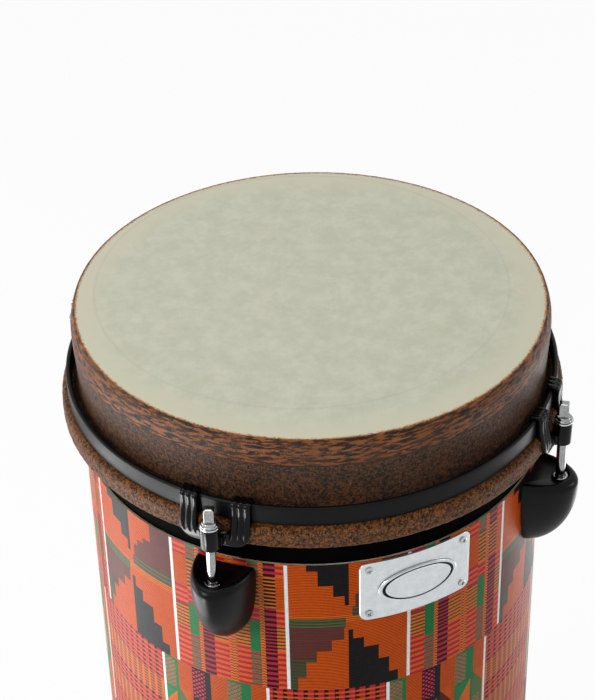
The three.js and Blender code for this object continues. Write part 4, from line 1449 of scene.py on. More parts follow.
@dataclass
class Head:
    """The film, its fibre collar and the flesh hoop, which lift off together, and the rim."""

    rings: TurnedRing
    height: float = 686.0
    film_flat: float = 149.7
    skirt: float = 151.1
    skirt_bore: float = 150.1
    skirt_bottom: float = 677.0
    lap: float = 150.82
    bulge: float = 153.3
    neck: float = 151.8
    foot: float = 155.0
    hoop_radius: float = 163.0
    hoop_bottom: float = 612.5
    hoop_top: float = 628.0
    rim_bore: float = 156.23
    rim_radius: float = 159.33
    rim_bottom: float = 628.3
    rim_top: float = 641.5

    def film(self) -> list[Point]:
        """Gives the film's profile: flat, turned down over the edge and in the collar.

        Returns:
            The profile.
        """
        top = self.height
        return [
            (0.001, top - 0.9),
            (self.skirt_bore, top - 0.9),
            (self.skirt_bore, self.skirt_bottom),
            (self.skirt, self.skirt_bottom),
            *arc((self.film_flat, top - 1.4), 1.4, 0, 90, 6),
            *((r, top) for r in (147, 144, 139, 132, 120, 100, 75, 50, 25, 8)),
            (0.001, top),
        ]

    def collar(self) -> list[Point]:
        """Gives the collar's profile: bulged at its top and flared at its foot.

        Returns:
            The profile.
        """
        top, low, inner = self.height, self.hoop_top + 0.3, self.skirt + 0.3
        side = [(self.foot, low), (self.neck, top - 45), (self.bulge, top - 12)]
        return [
            (self.skirt_bore, low),
            *spline([*side, (self.lap + 0.5, top - 1.2)], 24),
            (self.lap, top - 0.2),
            (150.2, top - 0.1),
            (inner, top - 1.3),
            (inner, self.skirt_bottom - 0.3),
            (self.skirt_bore, self.skirt_bottom - 0.3),
        ]

    def build(self) -> None:
        """Builds and dresses the film, the collar, the flesh hoop and the rim."""
        hoop = (self.skirt_bore, self.hoop_bottom, self.hoop_radius, self.hoop_top)
        hoop = evened(boxed(*hoop, 1.0, 4.0, 5.2, 0.8, steps=8), 1.3)
        rim = (self.rim_bore, self.rim_bottom, self.rim_radius, self.rim_top)
        rim = boxed(*rim, 1.0, 1.0, 1.45, 1.45, steps=6)
        mesh = self.rings.ring("drum_film", self.film(), FILM, 240, sharp=60)
        settle("drum_film", mesh, [FILM], "head", "head_film", "head_skin")
        line = evened(self.collar(), 1.6)
        mesh = self.rings.ring("fibre_collar", line, COLLAR, 720, 0.28, 2.6, 3.0, 60)
        settle("fibre_collar", mesh, [COLLAR], "head", "head_collar", "head_collar")
        mesh = self.rings.ring("flesh_hoop", hoop, HOOP, 900, 0.55, 3.2, 8.0, 70)
        settle("flesh_hoop", mesh, [HOOP], "head", "head_collar", "head_hoop")
        mesh = self.rings.ring("steel_rim", rim, POWDER, 288)
        settle("steel_rim", mesh, [POWDER], "counterhoop", "rim_steel", "rim")


# Tuning stations

ROD_CIRCLE = 169.4


def station(azimuth: float, height: float) -> np.ndarray:
    """Gives a place on the rods' circle, in metres."""
    return turned(np.array([(0.0, -ROD_CIRCLE, height)]), azimuth)[0] * MM


def fallen(radius: float, past: float) -> float:
    """Gives how far a quarter circle has fallen, at a distance past its start."""
    return radius - math.sqrt(max(0.0, radius**2 - max(0.0, past) ** 2))


def runs(line: np.ndarray) -> np.ndarray:
    """Gives the distance of each of a line's points from its start."""
    return np.concatenate([[0], np.cumsum(np.linalg.norm(np.diff(line, axis=0), axis=1))])


def found(line: np.ndarray, along: np.ndarray, places: np.ndarray | float) -> np.ndarray:
    """Gives the points of a line at places along it."""
    return np.stack([np.interp(places, along, line[:, i]) for i in (0, 1)], -1)


@dataclass
class Claw:
    """A pressed claw: two ribbed fingers hooked over the rim, a web and the rod's barrel."""

    width: float = 45.5
    window: float = 21.5
    bottom: float = 612.0
    web: float = 9.0
    fillet: float = 3.0
    corner: float = 10.0
    face: float = 165.8
    back: float = 163.4
    hook_face: float = 163.43
    hook_top: float = 644.0
    bend: float = 3.2
    lip: float = 154.6
    lip_face: float = 155.6
    lip_bottom: float = 637.0
    throat: float = 159.63
    under: float = 641.8
    edge: float = 0.7
    rib_depth: float = 0.95
    barrel: float = 6.0
    barrel_top: float = 628.0
    rod_pass: float = 3.52

    # Places in from an edge, close together where its rounding turns fastest
    near: ClassVar[np.ndarray] = np.array([0, 0.08, 0.2, 0.36, 0.55, 0.8])
    # Steps up the face, over the rim and down behind it
    path_steps: ClassVar[tuple[int, ...]] = (54, 22, 8)

    def path(self, *lines: Sequence[Point]) -> np.ndarray:
        """Gives a section row by row, evenly along the face, the bend and the lip."""
        made = []
        for count, line in zip(self.path_steps, lines):
            line = np.array(line)
            along = runs(line)
            points = found(line, along, np.linspace(0, along[-1], count + 1))
            made.append(points[1:] if made else points)
        return np.concatenate(made)

    def paths(self) -> tuple[np.ndarray, np.ndarray]:
        """Gives the finger's outer and inner section, row by row, as radius and height.

        Returns:
            The two sections, with a row of one for each of the other's.
        """
        hook, top, lip = self.hook_face, self.hook_top, self.lip
        face = [(self.face, self.bottom), (self.face, 620.25), (hook, 632.7), (hook, top - self.bend)]
        over = [
            *arc((hook - self.bend, top - self.bend), self.bend, 0, 90, 10),
            (lip + 0.9, top),
            *arc((lip + 0.9, top - 0.9), 0.9, 90, 180, 5),
        ]
        shoulder = arc((158.6, 623.6), 4.8, 0, 77.6, 8)
        throat, end = (self.throat, self.under), (self.lip_face, self.under)
        outer = self.path(spline(face, 12), over, [(lip, top - 0.9), (lip, self.lip_bottom)])
        face = [(self.back, self.bottom), *shoulder, throat]
        return outer, self.path(face, [throat, end], [end, (self.lip_face, self.lip_bottom)])

    def columns(self) -> np.ndarray:
        """Gives the places across the claw, close together at its edges and the window's.

        Returns:
            The places, from left to right.
        """
        half, window, near = self.width / 2, self.window / 2, self.near
        start = window - self.fillet
        right = np.concatenate([
            np.linspace(0, start - 0.5, 9),
            start + np.array([0, 0.8, 1.5, 2.1, 2.6, 2.85]),
            window + near,
            np.linspace(window + 1.1, half - 1.1, 30),
            half - near[::-1],
        ])
        return np.concatenate([-right[:0:-1], right])

    def groove(self, across: float, along: float) -> float:
        """Gives how far the surface lies below its ribs' tops.

        Args:
            across: The place across, from the middle.
            along: The place up the plate.

        Returns:
            The depth in millimetres.
        """
        share = (abs(across) - self.window / 2) / ((self.width - self.window) / 6)
        if share < 0:
            return 0.0
        depth = self.rib_depth * (1 - math.sqrt(abs(math.sin(math.pi * share))))
        rise, fall = (min(max(v, 0), 1) for v in ((along - 4.5) / 3.0, (44 - along) / 4))
        return depth * (rise * fall)

    def inset(self, across: float, along: float, length: float) -> float:
        """Gives a point's distance from the claw's nearest edge.

        Args:
            across: The place across, from the middle.
            along: The place up the plate.
            length: The plate's length along its path.

        Returns:
            The distance, or 0 past the edge.
        """
        u, half, window = abs(across), self.width / 2, self.window / 2
        if u > half - self.corner and along < self.corner:
            outside = self.corner - math.hypot(u - half + self.corner, self.corner - along)
        else:
            outside = half - u if along >= self.corner else min(along, half - u)
        top, start = self.web + self.fillet, window - self.fillet
        if along >= top:
            inside = u - window
        elif u > start:
            inside = math.hypot(u - start, top - along) - self.fillet
        else:
            inside = self.web - along
        return max(0.0, min(outside, inside, length - along))

    def pair(
        self, across: float, along: float, paths: Sequence[np.ndarray], reach: np.ndarray
    ) -> list[tuple[float, float, float]]:
        """Gives a place's outer point, sunk by the edge's rounding and the ribs, and its inner.

        Args:
            across: The place across, from the middle.
            along: The place up the plate.
            paths: The outer and the inner section.
            reach: The distance of each of their points from the start.

        Returns:
            The two points.
        """
        drop = fallen(self.edge, self.edge - self.inset(across, along, reach[-1]))
        drop += self.groove(across, along)
        made = []
        for path, sink in zip(paths, (drop, 0.0)):
            r, z = found(path, reach, along)
            if sink:
                way = found(path, reach, along + 0.3) - found(path, reach, along - 0.3)
                way /= max(1e-9, float(np.linalg.norm(way)))
                r, z = r - way[1] * sink, z + way[0] * sink
            made.append((across, -math.sqrt(r * r - across * across), z))
        return made

    def ladder(self, across: float, length: float, fingers: bool) -> list[float]:
        """Gives the places along the plate of one column's points.

        Args:
            across: The column's place across.
            length: The length of the whole plate along its path.
            fingers: Whether the column goes on up the finger, past the web.

        Returns:
            The places, from the bottom edge up.
        """
        u, window, middle = abs(across), self.window / 2, self.web + self.fillet
        low, top = fallen(self.corner, u - self.width / 2 + self.corner), middle
        if u < window - 1e-6:
            top = self.web + fallen(self.fillet, u - (window - self.fillet))
        near, back = self.near, self.near[::-1]
        even = np.linspace(1.4 / middle, 1 - 1.4 / middle, 12)
        shares = np.concatenate([near / middle, even, 1 - back / middle])
        made = [low + (top - low) * share for share in shares]
        high = np.concatenate([np.linspace(middle, length - 0.9, 56)[1:], length - back])
        return [*made, *high] if fingers else made

    def plate(self) -> Shape:
        """Gives the bent plate's points and faces, drawn at the front.

        Returns:
            Points and faces.
        """
        paths = self.paths()
        reach = runs(paths[0])
        points, faces, index = [], [], {}
        sides: dict[tuple[int, int], int] = {}

        def corner(u: float, s: float) -> int:
            """Adds a pair of points, outer then inner, and gives the first one's number."""
            key = (round(u, 3), round(s, 3))
            if key not in index:
                index[key] = len(points)
                points.extend(self.pair(u, s, paths, reach))
            return index[key]

        columns = self.columns()
        for a, b in zip(columns, columns[1:]):
            fingers = min(abs(a), abs(b)) >= self.window / 2 - 1e-6
            left, right = (self.ladder(u, reach[-1], fingers) for u in (a, b))
            for lows, highs in zip(zip(left, right), zip(left[1:], right[1:])):
                cell = [corner(a, lows[0]), corner(b, lows[1]), corner(b, highs[1]), corner(a, highs[0])]
                ring = [c for i, c in enumerate(cell) if c != cell[i - 1]]
                if len(ring) < 3:
                    continue
                faces += [ring, [c + 1 for c in reversed(ring)]]
                for p, q in zip(ring, [*ring[1:], ring[0]]):
                    key = (min(p, q), max(p, q))
                    sides[key] = sides.get(key, 0) + 1
        faces += [(p, q, q + 1, p + 1) for (p, q), count in sides.items() if count == 1]
        return np.array(points), faces

    def socket(self) -> Shape:
        """Gives the barrel that the rod passes.

        Returns:
            Points and faces.
        """
        ends = (self.rod_pass, self.bottom, self.barrel, self.barrel_top)
        line = boxed(*ends, 0.5, 1.2, 0.8, 0.4)
        angles = np.linspace(0, 2 * math.pi, 48, endpoint=False)
        loops = [
            np.array([(r * math.cos(a), r * math.sin(a) - ROD_CIRCLE, z) for a in angles])
            for r, z in [*line, line[0]]
        ]
        return skinned(loops, capped=False)

    def rib(self, x: float, wide: float, deep: float, low: float, high: float) -> Shape:
        """Gives one of the small ribs on the web's face.

        Args:
            x: Its middle.
            wide: Half of its width.
            deep: How far it stands out.
            low: Its foot, above the claw's.
            high: Its top, above the claw's foot.

        Returns:
            Points and faces.
        """
        front = -self.face - deep + 1
        section = np.array(boxed(x - wide, -self.back, x + wide, front, 0, 0, 0.6, 0.6))
        centre, tall = np.array((x, -self.face)), high - low
        ends = ((0, 0.8), (0.25, 0.95), (0.7, 1.0))
        levels = [*ends, *((tall - lift, shrink) for lift, shrink in reversed(ends))]
        loops = []
        for lift, shrink in levels:
            flat = centre + (section - centre) * shrink
            loops.append(np.column_stack([flat, np.full(len(flat), self.bottom + low + lift)]))
        return skinned(loops)

    def build(self, number: int, azimuth: float) -> None:
        """Builds and dresses one claw with its barrel and the small ribs beside it.

        Args:
            number: The station's number, from 1.
            azimuth: The station's azimuth in degrees.
        """
        ribs = [self.rib(0, 4.2, 6.0, 0, self.web - 0.8)]
        for x, *sizes in ((5.9, 0.8, 3.0, 0.8, 7.6), (8.3, 0.7, 1.5, 1.4, 7.0)):
            ribs += [self.rib(side * x, *sizes) for side in (-1, 1)]
        shape = joined([self.plate(), self.socket(), *ribs])
        name = f"claw_{number}_shell"
        mesh = make_mesh(name, shape, 48, azimuth)
        settle(name, mesh, [ENAMEL], f"claw_{number}", "claw_steel", f"tuning_claw_{number}")


@dataclass
class Rod:
    """A tension rod with a rolled thread and a square head for the key, and its washer."""

    rings: TurnedRing
    threads: RolledThread
    radius: float = 3.15
    tip: float = 561.6
    flange_bottom: float = 629.6
    flange: float = 5.8
    key_top: float = 642.5
    key_half: float = 3.1
    key_power: float = 14
    pitch: float = 1.27
    thread_depth: float = 0.42
    thread_top: float = 587.0
    washer_bore: float = 3.52
    washer: float = 6.3
    washer_bottom: float = 628.3

    def shank(self) -> bpy.types.Mesh:
        """Gives the shank and the domed flange, with the thread rolled in, on the Z axis.

        Returns:
            The shank's mesh.
        """
        length, threaded = self.flange_bottom - self.tip, self.thread_top - self.tip
        tier = self.flange - 1.1
        rows = int(threaded / self.pitch * 10)
        profile = [
            (0.001, 0),
            (self.radius - 0.8, 0),
            (self.radius, 0.8),
            *((self.radius, z) for z in np.linspace(0.8, threaded, rows)[1:]),
            (self.radius, length),
            (self.flange - 0.3, length),
            (self.flange, length + 0.3),
            *arc((self.flange - 0.5, length + 0.8), 0.5, 0, 90, 4),
            (tier + 0.3, length + 1.3),
            *arc((tier - 0.6, length + 2.2), 0.6, 0, 90, 4),
            (0.001, length + 2.8),
        ]
        mesh = self.rings.ring("rod_shank", profile, CHROME, 40, sharp=35)
        sizes = {"Pitch": self.pitch, "Depth": self.thread_depth, "Top": threaded, "Runout": 4}
        sizes = {size: value * MM for size, value in sizes.items()}
        return self.threads.use("rod_shank_threaded", mesh, CHROME, 35, **sizes)

    def key(self) -> Shape:
        """Gives the square for the key: flats with rolled corners and a crowned top.

        Returns:
            Points and faces.
        """
        low, high = self.flange_bottom - self.tip + 1.5, self.key_top - self.tip
        half, power = self.key_half, self.key_power
        levels = [(low, 3.0), (low + 1.6, 3.02), (low + 2.4, half), (high - 1.5, half)]
        levels += [(high - 0.9, half - 0.15), (high - 0.35, half - 0.6), (high - 0.05, half - 1.4)]
        angles = np.linspace(0, 2 * math.pi, 64, endpoint=False) + math.pi / 64
        cos, sin = np.cos(angles), np.sin(angles)
        loops = []
        for z, size in [*levels, (high, 0.9)]:
            reach = size / (np.abs(cos) ** power + np.abs(sin) ** power) ** (1 / power)
            loops.append(np.column_stack([reach * cos, reach * sin, np.full(len(angles), z)]))
        return skinned(loops)

    def build(self, number: int, azimuth: float, turn: float) -> None:
        """Builds and dresses one rod, turned by so many degrees in its nut, and its washer.

        Args:
            number: The station's number, from 1.
            azimuth: The station's azimuth in degrees.
            turn: How far the rod is turned, in degrees.
        """
        mesh, head = self.shank(), make_mesh("rod_key", self.key(), 28)
        work = bmesh.new()
        for part in (mesh, head):
            work.from_mesh(part)
        bpy.data.meshes.remove(head)
        spin = Matrix.Rotation(math.radians(turn), 4, "Z")
        pose = Matrix.Translation(station(azimuth, self.tip)) @ spin
        bmesh.ops.transform(work, matrix=pose, verts=work.verts)
        work.to_mesh(mesh)
        work.free()
        mesh.set_sharp_from_angle(angle=math.radians(30))
        names = (f"rod_{number}", "rod_chrome", f"tension_rod_{number}")
        settle(f"rod_{number}_threaded", mesh, [CHROME], *names)
        low = self.washer_bottom
        section = boxed(self.washer_bore, low, self.washer, low + 1, 0.15, 0.3, 0.3, 0.15)
        ring = self.rings.ring("washer_ring", section, ZINC, 48)
        ring.transform(Matrix.Translation(station(azimuth, 0.0)))
        names = (f"washer_{number}", "zinc_screws", f"rod_washer_{number}")
        settle(f"washer_{number}_ring", ring, [ZINC], *names)


@dataclass
class Lug:
    """A half-teardrop moulding on the shell with a chromed nut let into its dished top."""

    rings: TurnedRing
    half_width: float = 20.0
    depth: float = 30.6
    cover: float = 150.95
    back: float = 151.25
    top: float = 585.0
    height: float = 54.5
    brow: float = 5.5
    pull: float = 0.35
    flank: float = 0.64
    nose: float = 1.95
    backing: float = 2.7
    floor: float = 583.4
    well: float = 20.0
    well_radius: float = 4.6
    nut_bore: float = 3.4
    nut: float = 4.3
    nut_flange: float = 5.0

    def section(self, half: float, depth: float, height: float) -> np.ndarray:
        """Gives one level loop: the nose, then back along the covering.

        Args:
            half: Half of its width.
            depth: How far it stands out from the covering.
            height: Its height.

        Returns:
            The loop's points.
        """
        power = 2 / self.nose

        def place(angle: float) -> tuple[float, float]:
            """Gives the nose's point at an angle, across and out from the axis."""
            cos, sin = math.cos(angle), max(0.0, math.sin(angle))
            out = self.cover + (depth + self.backing) * sin**power - self.backing
            return -half * math.copysign(abs(cos) ** power, cos), out

        low, high = 0.0, math.pi / 2
        for _ in range(30):
            middle = (low + high) / 2
            short = math.hypot(*place(middle)) < self.back
            low, high = (middle, high) if short else (low, middle)
        front = [place(a) for a in np.linspace(high, math.pi - high, 49)]
        turn = math.asin(front[-1][0] / self.back)
        angles = np.linspace(turn, -turn, 15)[1:-1]
        behind = [(self.back * math.sin(a), self.back * math.cos(a)) for a in angles]
        return np.array([(x, -y, height) for x, y in [*front, *behind]])

    def casing(self) -> Shape:
        """Gives the moulding, drawn at the front: its bowl, its brow, its dish and its well.

        Returns:
            Points and faces.
        """
        wide, deep, top = self.half_width, self.depth, self.top
        bowl_top, fall = top - self.brow, top - self.floor
        bowl = bowl_top - (top - self.height)
        loops = []
        for angle in np.linspace(0.05, math.pi / 2, 26):
            swell, high = math.sin(angle), bowl_top - bowl * math.cos(angle)
            loops.append(self.section(wide * swell**self.flank, deep * swell, high))
        for angle in np.linspace(0, math.pi / 2, 10)[1:]:
            pull, high = self.brow * (1 - math.cos(angle)), bowl_top + self.brow * math.sin(angle)
            loops.append(self.section(wide - pull * self.pull, deep - pull, high))
        dish = ((0.5, 0.03), (0.9, 0.2), (1.15, 0.6), (1.3, fall - 0.5), (1.6, fall - 0.15), (2.2, fall))
        for inset, drop in dish:
            inside = self.brow + inset
            loops.append(self.section(wide - inside * (1 - self.pull), deep - inside, top - drop))
        centre = np.array((0.0, -ROD_CIRCLE))
        flat = loops[-1][:, :2] - centre
        angles = np.arctan2(flat[:, 1], flat[:, 0])
        rim, wall = self.well_radius + 0.7, self.well_radius
        for radius, drop in ((rim + 0.4, 0.0), (rim, 0.3), (wall, 1.2), (wall, self.well)):
            ring = centre + radius * np.stack([np.cos(angles), np.sin(angles)], -1)
            loops.append(np.column_stack([ring, np.full(len(ring), self.floor - drop)]))
        return skinned(loops)

    def build(self, number: int, azimuth: float) -> None:
        """Builds and dresses one lug and its nut.

        Args:
            number: The station's number, from 1.
            azimuth: The station's azimuth in degrees.
        """
        name = f"lug_{number}_moulding"
        mesh = make_mesh(name, self.casing(), 45, azimuth)
        settle(name, mesh, [NYLON], "drum_body", "lug_black", f"lug_casing_{number}")
        seat, low = self.floor + 0.3, self.floor - self.well
        bush = rounded([
            (self.nut_bore, low, 0.3),
            (self.nut, low, 0.3),
            (self.nut, seat, 0),
            (self.nut_flange, seat, 0.2),
            (self.nut_flange, seat + 0.8, 0.35),
            (self.nut_bore, seat + 0.8, 0.3),
        ])
        nut = self.rings.ring("lug_bush", bush, CHROME, 48)
        nut.transform(Matrix.Translation(station(azimuth, 0.0)))
        names = ("drum_body", "rod_chrome", f"lug_nut_{number}")
        settle(f"lug_{number}_bush", nut, [CHROME], *names)


# Feet and badge


@dataclass
class Foot:
    """A moulded rubber channel under the shell's edge, with grip lines over a solid tread."""

    inner: float = 137.09
    slot_inner: float = 142.59
    slot_outer: float = 151.25
    outer: float = 157.25
    lift: float = 38.0
    outer_top: float = 72.3
    inner_top: float = 50.3
    base_half: float = 31.0
    top_half: float = 23.0
    corner: float = 8.0
    rounding: float = 1.6

    def half(self, height: float) -> float:
        """Gives half of the foot's width at a height.

        Args:
            height: The height above the floor.

        Returns:
            Half of the width.
        """
        shoulder = self.outer_top - self.corner
        if height < self.lift / 2:
            return self.base_half
        if height < shoulder:
            share = (height - self.lift / 2) / (shoulder - self.lift / 2)
            return self.base_half + (self.top_half - self.base_half) * share
        rise = min(height - shoulder, self.corner)
        return self.top_half - self.corner + math.sqrt(self.corner**2 - rise**2)

    def profile(self) -> np.ndarray:
        """Gives the channel's section, with the grip lines in its outer side.

        Returns:
            Radius and height of each point.
        """
        groove = self.outer - 0.8
        grips = [
            (radius, low + up, 0.3)
            for low in (8.0, 13.0, 18.0, 23.0)
            for radius, up in ((self.outer, 0), (groove, 0.5), (groove, 1.6), (self.outer, 2.1))
        ]
        corners = [
            (self.inner, 0, 2.2),
            (self.outer, 0, 2.2),
            *grips,
            (self.outer, self.outer_top, 2.0),
            (self.slot_outer, self.outer_top, 0.8),
            (self.slot_outer, self.lift, 0.4),
            (self.slot_inner, self.lift, 0.4),
            (self.slot_inner, self.inner_top, 0.8),
            (self.inner, self.inner_top, 1.5),
        ]
        return np.array(evened(rounded(corners, 3), 2.5))

    def loop(self, section: np.ndarray, share: float, back: float) -> np.ndarray:
        """Gives a section at a share of the half width, or so far back from an end.

        Args:
            section: Radius and height of each point.
            share: The share of the half width, with a sign for its side.
            back: How far back from there towards the middle.

        Returns:
            The loop's points.
        """
        made = []
        for r, z in section:
            half = max(0.5, self.half(min(max(z, 0.0), self.outer_top - 0.4)))
            x = share * half - math.copysign(back, share)
            made.append((x, -math.sqrt(r * r - x * x), z))
        return np.array(made)

    def build(self, number: int, azimuth: float) -> None:
        """Builds and dresses one foot.

        Args:
            number: The station's number, from 1.
            azimuth: The station's azimuth in degrees.
        """
        line = self.profile()
        ways = np.roll(line, -1, axis=0) - np.roll(line, 1, axis=0)
        ways /= np.linalg.norm(ways, axis=1)[:, None]
        inwards = np.stack([-ways[:, 1], ways[:, 0]], -1)
        turns = np.radians([0, 22, 45, 68, 90])
        ends = [(self.rounding * (1 - math.sin(a)), self.rounding * (1 - math.cos(a))) for a in turns]
        places = [(-1, *end) for end in ends]
        places += [(share, 0, 0) for share in np.linspace(-0.86, 0.86, 15)]
        places += [(1, *end) for end in reversed(ends)]
        loops = [self.loop(line + inwards * sink, share, back) for share, back, sink in places]
        points, faces = skinned(loops, capped=False)
        first = list(range(len(line)))
        faces += [first, [len(points) - len(line) + i for i in first]]
        name = f"foot_{number}_moulding"
        mesh = make_mesh(name, (points, faces), 40, azimuth)
        settle(name, mesh, [RUBBER], "drum_body", "foot_rubber", f"foot_{number}")


@dataclass
class Badge:
    """A plain brushed plate bent to the shell, with a blank oval medallion on it."""

    azimuth: float = 1.1
    middle: float = 565.5
    back: float = 151.25
    face: float = 152.45
    half_width: float = 38.0
    half_height: float = 23.0
    corner: float = 6.0
    oval_width: float = 27.0
    oval_height: float = 13.0
    oval_back: float = 152.75

    def bent(self, outline: np.ndarray, levels: Sequence[tuple[float, float]]) -> Shape:
        """Gives a shape bent round the drum.

        Args:
            outline: The outline, across and up from the middle.
            levels: For each loop, its share of the outline's size and its radius.

        Returns:
            Points and faces.
        """
        loops = []
        for share, radius in levels:
            x, z = outline[:, 0] * share, outline[:, 1] * share
            loops.append(np.stack([x, -np.sqrt(radius**2 - x**2), self.middle + z], -1))
        return skinned(loops)

    def inlaid(self, place: Vector) -> bool:
        """Says whether a place on the medallion lies in the groove round its middle."""
        x, _, z = turned(np.array([tuple(place)]) / MM, -self.azimuth)[0]
        share = math.hypot(x / self.oval_width, (z - self.middle) / self.oval_height)
        return 0.836 < share < 0.912

    def build(self) -> None:
        """Builds and dresses the plate and the medallion."""
        w, h, c = self.half_width, self.half_height, self.corner
        outline = np.array(evened(boxed(-w, -h, w, h, *[c] * 4, steps=10), 2.2))
        levels = [(1, self.back), (1, self.face - 0.35), (0.996, self.face - 0.1), (0.99, self.face)]
        levels += [(share, self.face) for share in (0.93, 0.8, 0.65, 0.5, 0.35, 0.2, 0.08)]
        mesh = make_mesh("badge_sheet", self.bent(outline, levels), 35, self.azimuth)
        settle("badge_sheet", mesh, [ALUMINIUM], "drum_body", "badge_metal", "badge_plate")
        angles = np.linspace(0, 2 * math.pi, 96, endpoint=False)
        oval = np.stack([self.oval_width * np.cos(angles), self.oval_height * np.sin(angles)], -1)
        # Each loop's share of the oval and its rise: the outer lip, the groove and the dome
        lip = ((1, 0), (1, 0.9), (0.99, 1.2), (0.97, 1.35), (0.93, 1.35), (0.915, 1.15))
        groove = ((0.91, 0.7), (0.84, 0.7), (0.835, 1.1), (0.82, 1.3), (0.79, 1.38))
        dome = ((0.6, 1.4), (0.4, 1.4), (0.2, 1.4))
        levels = [(share, self.oval_back + rise) for share, rise in (*lip, *groove, *dome)]
        mesh = make_mesh("badge_oval", self.bent(oval, levels), 32, self.azimuth)
        which = [int(self.inlaid(polygon.center)) for polygon in mesh.polygons]
        names = ("drum_body", "badge_metal", "badge_medallion")
        settle("badge_oval", mesh, [ALUMINIUM, ENAMEL], *names, which=which)


@dataclass
class Fasteners:
    """Every screw that the drum shows: on the badge, in the feet and inside the shell."""

    tool: PanHeadScrews
    badge: Badge
    stations: tuple[float, ...]
    badge_seat: float = 152.6
    badge_side: float = 5.4
    badge_rise: float = 17.6
    foot_face: float = 157.25
    foot_seat: float = 157.4
    foot_side: float = 13
    foot_height: float = 56.3
    lug_seat: float = 142.5
    lug_heights: tuple[float, float] = (574.0, 547.0)

    # The head's radius and height, the shank's radius and length, and the recess's width
    sizes: ClassVar[tuple[str, ...]] = (
        "Head_radius", "Head_height", "Shank_radius", "Shank_length", "Recess",
    )

    def build(self) -> None:
        """Builds and dresses the badge's, the feet's and the lugs' screws."""
        plate, sides = self.badge, (-1, 1)
        turn = math.degrees((plate.half_width - self.badge_side) / plate.face)
        badge = [
            (plate.azimuth + side * turn, self.badge_seat, plate.middle + row * self.badge_rise)
            for side in sides
            for row in sides
        ]
        turn, foot = math.degrees(self.foot_side / self.foot_face), (self.foot_seat, self.foot_height)
        feet = [(a + side * turn, *foot) for a in self.stations for side in sides]
        lugs = [(a, self.lug_seat, z) for a in self.stations for z in self.lug_heights]
        for kind, seats, outwards, sizes, ends in (
            ("badge", badge, True, (2.5, 1.25, 1.1, 5, 0.75), ("",)),
            ("foot", feet, True, (4.2, 2.3, 1.9, 11, 1.1), ("_left", "_right")),
            ("lug", lugs, False, (5.0, 2.6, 2.0, 18, 1.3), ("_upper", "_lower")),
        ):
            name, named = f"{kind}_screws", dict(zip(self.sizes, sizes))
            mesh = self.tool.screws(name, seats, outwards, **named)
            nodes = [f"{kind}_screw_{i}{end}" for i in (1, 2, 3, 4) for end in ends]
            settle(name, mesh, [ZINC], "drum_body", "zinc_screws", *nodes)


# Studio


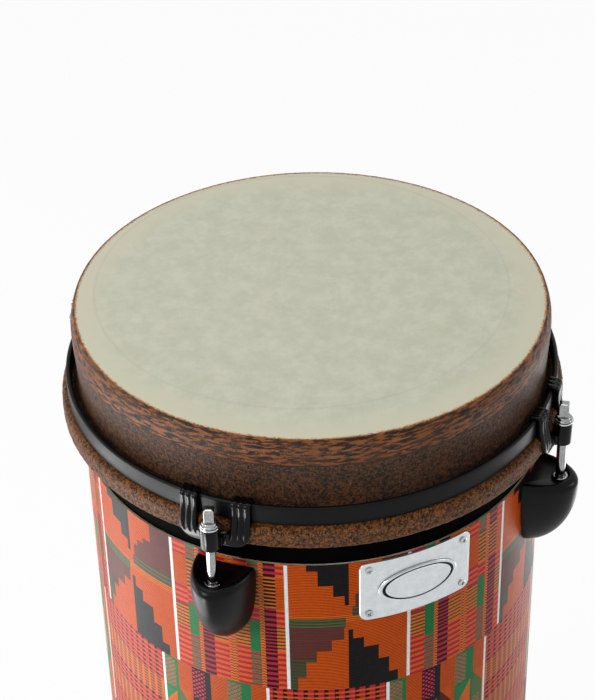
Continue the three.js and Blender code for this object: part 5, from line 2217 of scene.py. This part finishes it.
@dataclass
class Studio:
    """The pale floor, the soft lamps and the photograph's camera."""

    lens_pixels: float = 2086.284
    photo_height: float = 700
    sensor: float = 36
    distance: float = 1.329465
    elevation: float = 0.596849
    yaw: float = 0.00671680
    pitch: float = -0.02674152
    roll: float = 0.02154249
    round_drum: float = -23.3
    aim_height: float = 0.686
    floor_half: float = 9
    floor_glow: float = 0.93

    def camera(self) -> None:
        """Stands the camera where the photograph's was."""
        back, up = (self.distance * f(self.elevation) for f in (math.cos, math.sin))
        place = Vector((0, -back, up))
        ahead = -place.normalized()
        right = ahead.cross(Vector((0, 0, 1))).normalized()
        up = right.cross(ahead)
        ahead, right = (Matrix.Rotation(self.yaw, 3, up) @ v for v in (ahead, right))
        ahead, up = (Matrix.Rotation(self.pitch, 3, right) @ v for v in (ahead, up))
        right, up = (Matrix.Rotation(self.roll, 3, ahead) @ v for v in (right, up))
        swing = Matrix.Rotation(math.radians(self.round_drum), 3, "Z")
        place, ahead, right, up = (swing @ v for v in (place, ahead, right, up))
        pose = Matrix((right, up, -ahead)).transposed().to_4x4()
        pose.translation = place + Vector((0, 0, self.aim_height))
        camera = bpy.data.objects.new("camera", bpy.data.cameras.new("camera"))
        camera.data.lens = self.lens_pixels * self.sensor / self.photo_height
        camera.data.sensor_width = self.sensor
        camera.matrix_world = pose
        bpy.context.scene.collection.objects.link(camera)
        bpy.context.scene.camera = camera

    def lamp(
        self, name: str, place: tuple[float, float, float], size: float, watts: float
    ) -> bpy.types.Object:
        """Hangs a square soft lamp that looks at the drum's upper half.

        Args:
            name: The lamp's name.
            place: Where it hangs, in metres.
            size: Its side, in metres.
            watts: Its power.

        Returns:
            The lamp.
        """
        lamp = bpy.data.objects.new(name, bpy.data.lights.new(name, "AREA"))
        lamp.data.energy, lamp.data.size = watts, size
        lamp.location = place
        way = Vector((0, 0, 0.5)) - Vector(place)
        lamp.rotation_euler = way.to_track_quat("-Z", "Y").to_euler()
        bpy.context.scene.collection.objects.link(lamp)
        return lamp

    def card(self, name: str, place: Point, size: float, watts: float) -> None:
        """Lays a bright card on the floor, face up, which only the drum's reflections see.

        The camera looks down, so an upright black surface mirrors the floor beside the drum.

        Args:
            name: The card's name.
            place: Where it lies, in metres.
            size: Its side, in metres.
            watts: Its power.
        """
        card = self.lamp(name, (*place, 0.02), size, watts)
        card.rotation_euler = (math.pi, 0, 0)
        card.visible_diffuse = False
        card.visible_camera = False

    def background(self, tree: Tree) -> Field:
        """Gives 1 for rays that see the backdrop, straight, in a reflection or through.

        Args:
            tree: The tree that gets the nodes.

        Returns:
            The share, 0 or 1.
        """
        rays = add_node(tree, "ShaderNodeLightPath")
        seen = rays["Is Camera Ray"]
        for kind in ("Is Glossy Ray", "Is Transmission Ray"):
            seen = add_node(tree, "ShaderNodeMath", seen, rays[kind], operation="MAXIMUM")
        return seen

    def sky(self) -> None:
        """Sets a world that lights softly and looks white."""
        world = bpy.data.worlds.new("studio")
        bpy.context.scene.world = world
        world.use_nodes = True
        tree = world.node_tree
        tree.nodes.clear()
        soft, white = (
            add_node(tree, "ShaderNodeBackground", Color="#FFFFFF", Strength=strength)
            for strength in (0.30, 1.0)
        )
        mixed = add_node(tree, "ShaderNodeMixShader", self.background(tree), soft, white)
        add_node(tree, "ShaderNodeOutputWorld", mixed)

    def floor(self) -> None:
        """Lays a floor of white paper, which glows for the rays that see it."""
        paper = bpy.data.materials.new("white_paper_floor")
        paper.use_nodes = True
        tree = paper.node_tree
        tree.nodes.clear()
        matt = add_node(tree, "ShaderNodeBsdfDiffuse", Color="#F6F6F4")
        glow = add_node(tree, "ShaderNodeEmission", Strength=1.0)
        share = self.background(tree) * self.floor_glow
        mixed = add_node(tree, "ShaderNodeMixShader", share, matt, glow)
        add_node(tree, "ShaderNodeOutputMaterial", mixed)
        mesh, half = bpy.data.meshes.new("floor"), self.floor_half
        corners = [(-half, -half, 0), (half, -half, 0), (half, half, 0), (-half, half, 0)]
        mesh.from_pydata(corners, [], [(0, 1, 2, 3)])
        mesh.materials.append(paper)
        floor = bpy.data.objects.new("floor", mesh)
        bpy.context.scene.collection.objects.link(floor)

    def build(self) -> None:
        """Lays the floor, hangs the lamps, sets the world and stands the camera."""
        bpy.context.scene.view_settings.view_transform = "Standard"
        self.sky()
        self.floor()
        self.lamp("window_left", (-2.1, -0.5, 1.7), 0.65, 32)
        self.lamp("strip_low_left", (-1.7, 1.1, 0.35), 1.2, 20)
        self.card("card_left", (-0.88, 0.16), 0.9, 13)
        self.card("card_front_left", (-0.84, -0.24), 0.26, 4.5)
        self.card("card_right", (0.90, 0.10), 0.6, 3)
        self.lamp("fill_right", (2.1, -1.2, 1.3), 0.6, 13)
        self.lamp("top_soft", (-0.2, 0.3, 2.5), 1.4, 14)
        self.camera()


# Each station's azimuth, and how far its rod is turned against it, in degrees
STATIONS = {45.0: 12, 135.0: 31, 225.0: 64, 315.0: 20}


def main() -> None:
    logging.basicConfig(level=logging.INFO, format="%(message)s")
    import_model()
    rings, threads, screws = TurnedRing(), RolledThread(), PanHeadScrews()
    Studio().build()
    Shell(rings).build()
    Covering().build()
    Head(rings).build()
    for number, (azimuth, turn) in enumerate(STATIONS.items(), 1):
        Claw().build(number, azimuth)
        Rod(rings, threads).build(number, azimuth, azimuth + turn)
        Lug(rings).build(number, azimuth)
        Foot().build(number, azimuth)
    badge = Badge()
    badge.build()
    Fasteners(screws, badge, tuple(STATIONS)).build()


if __name__ == "__main__":
    main()
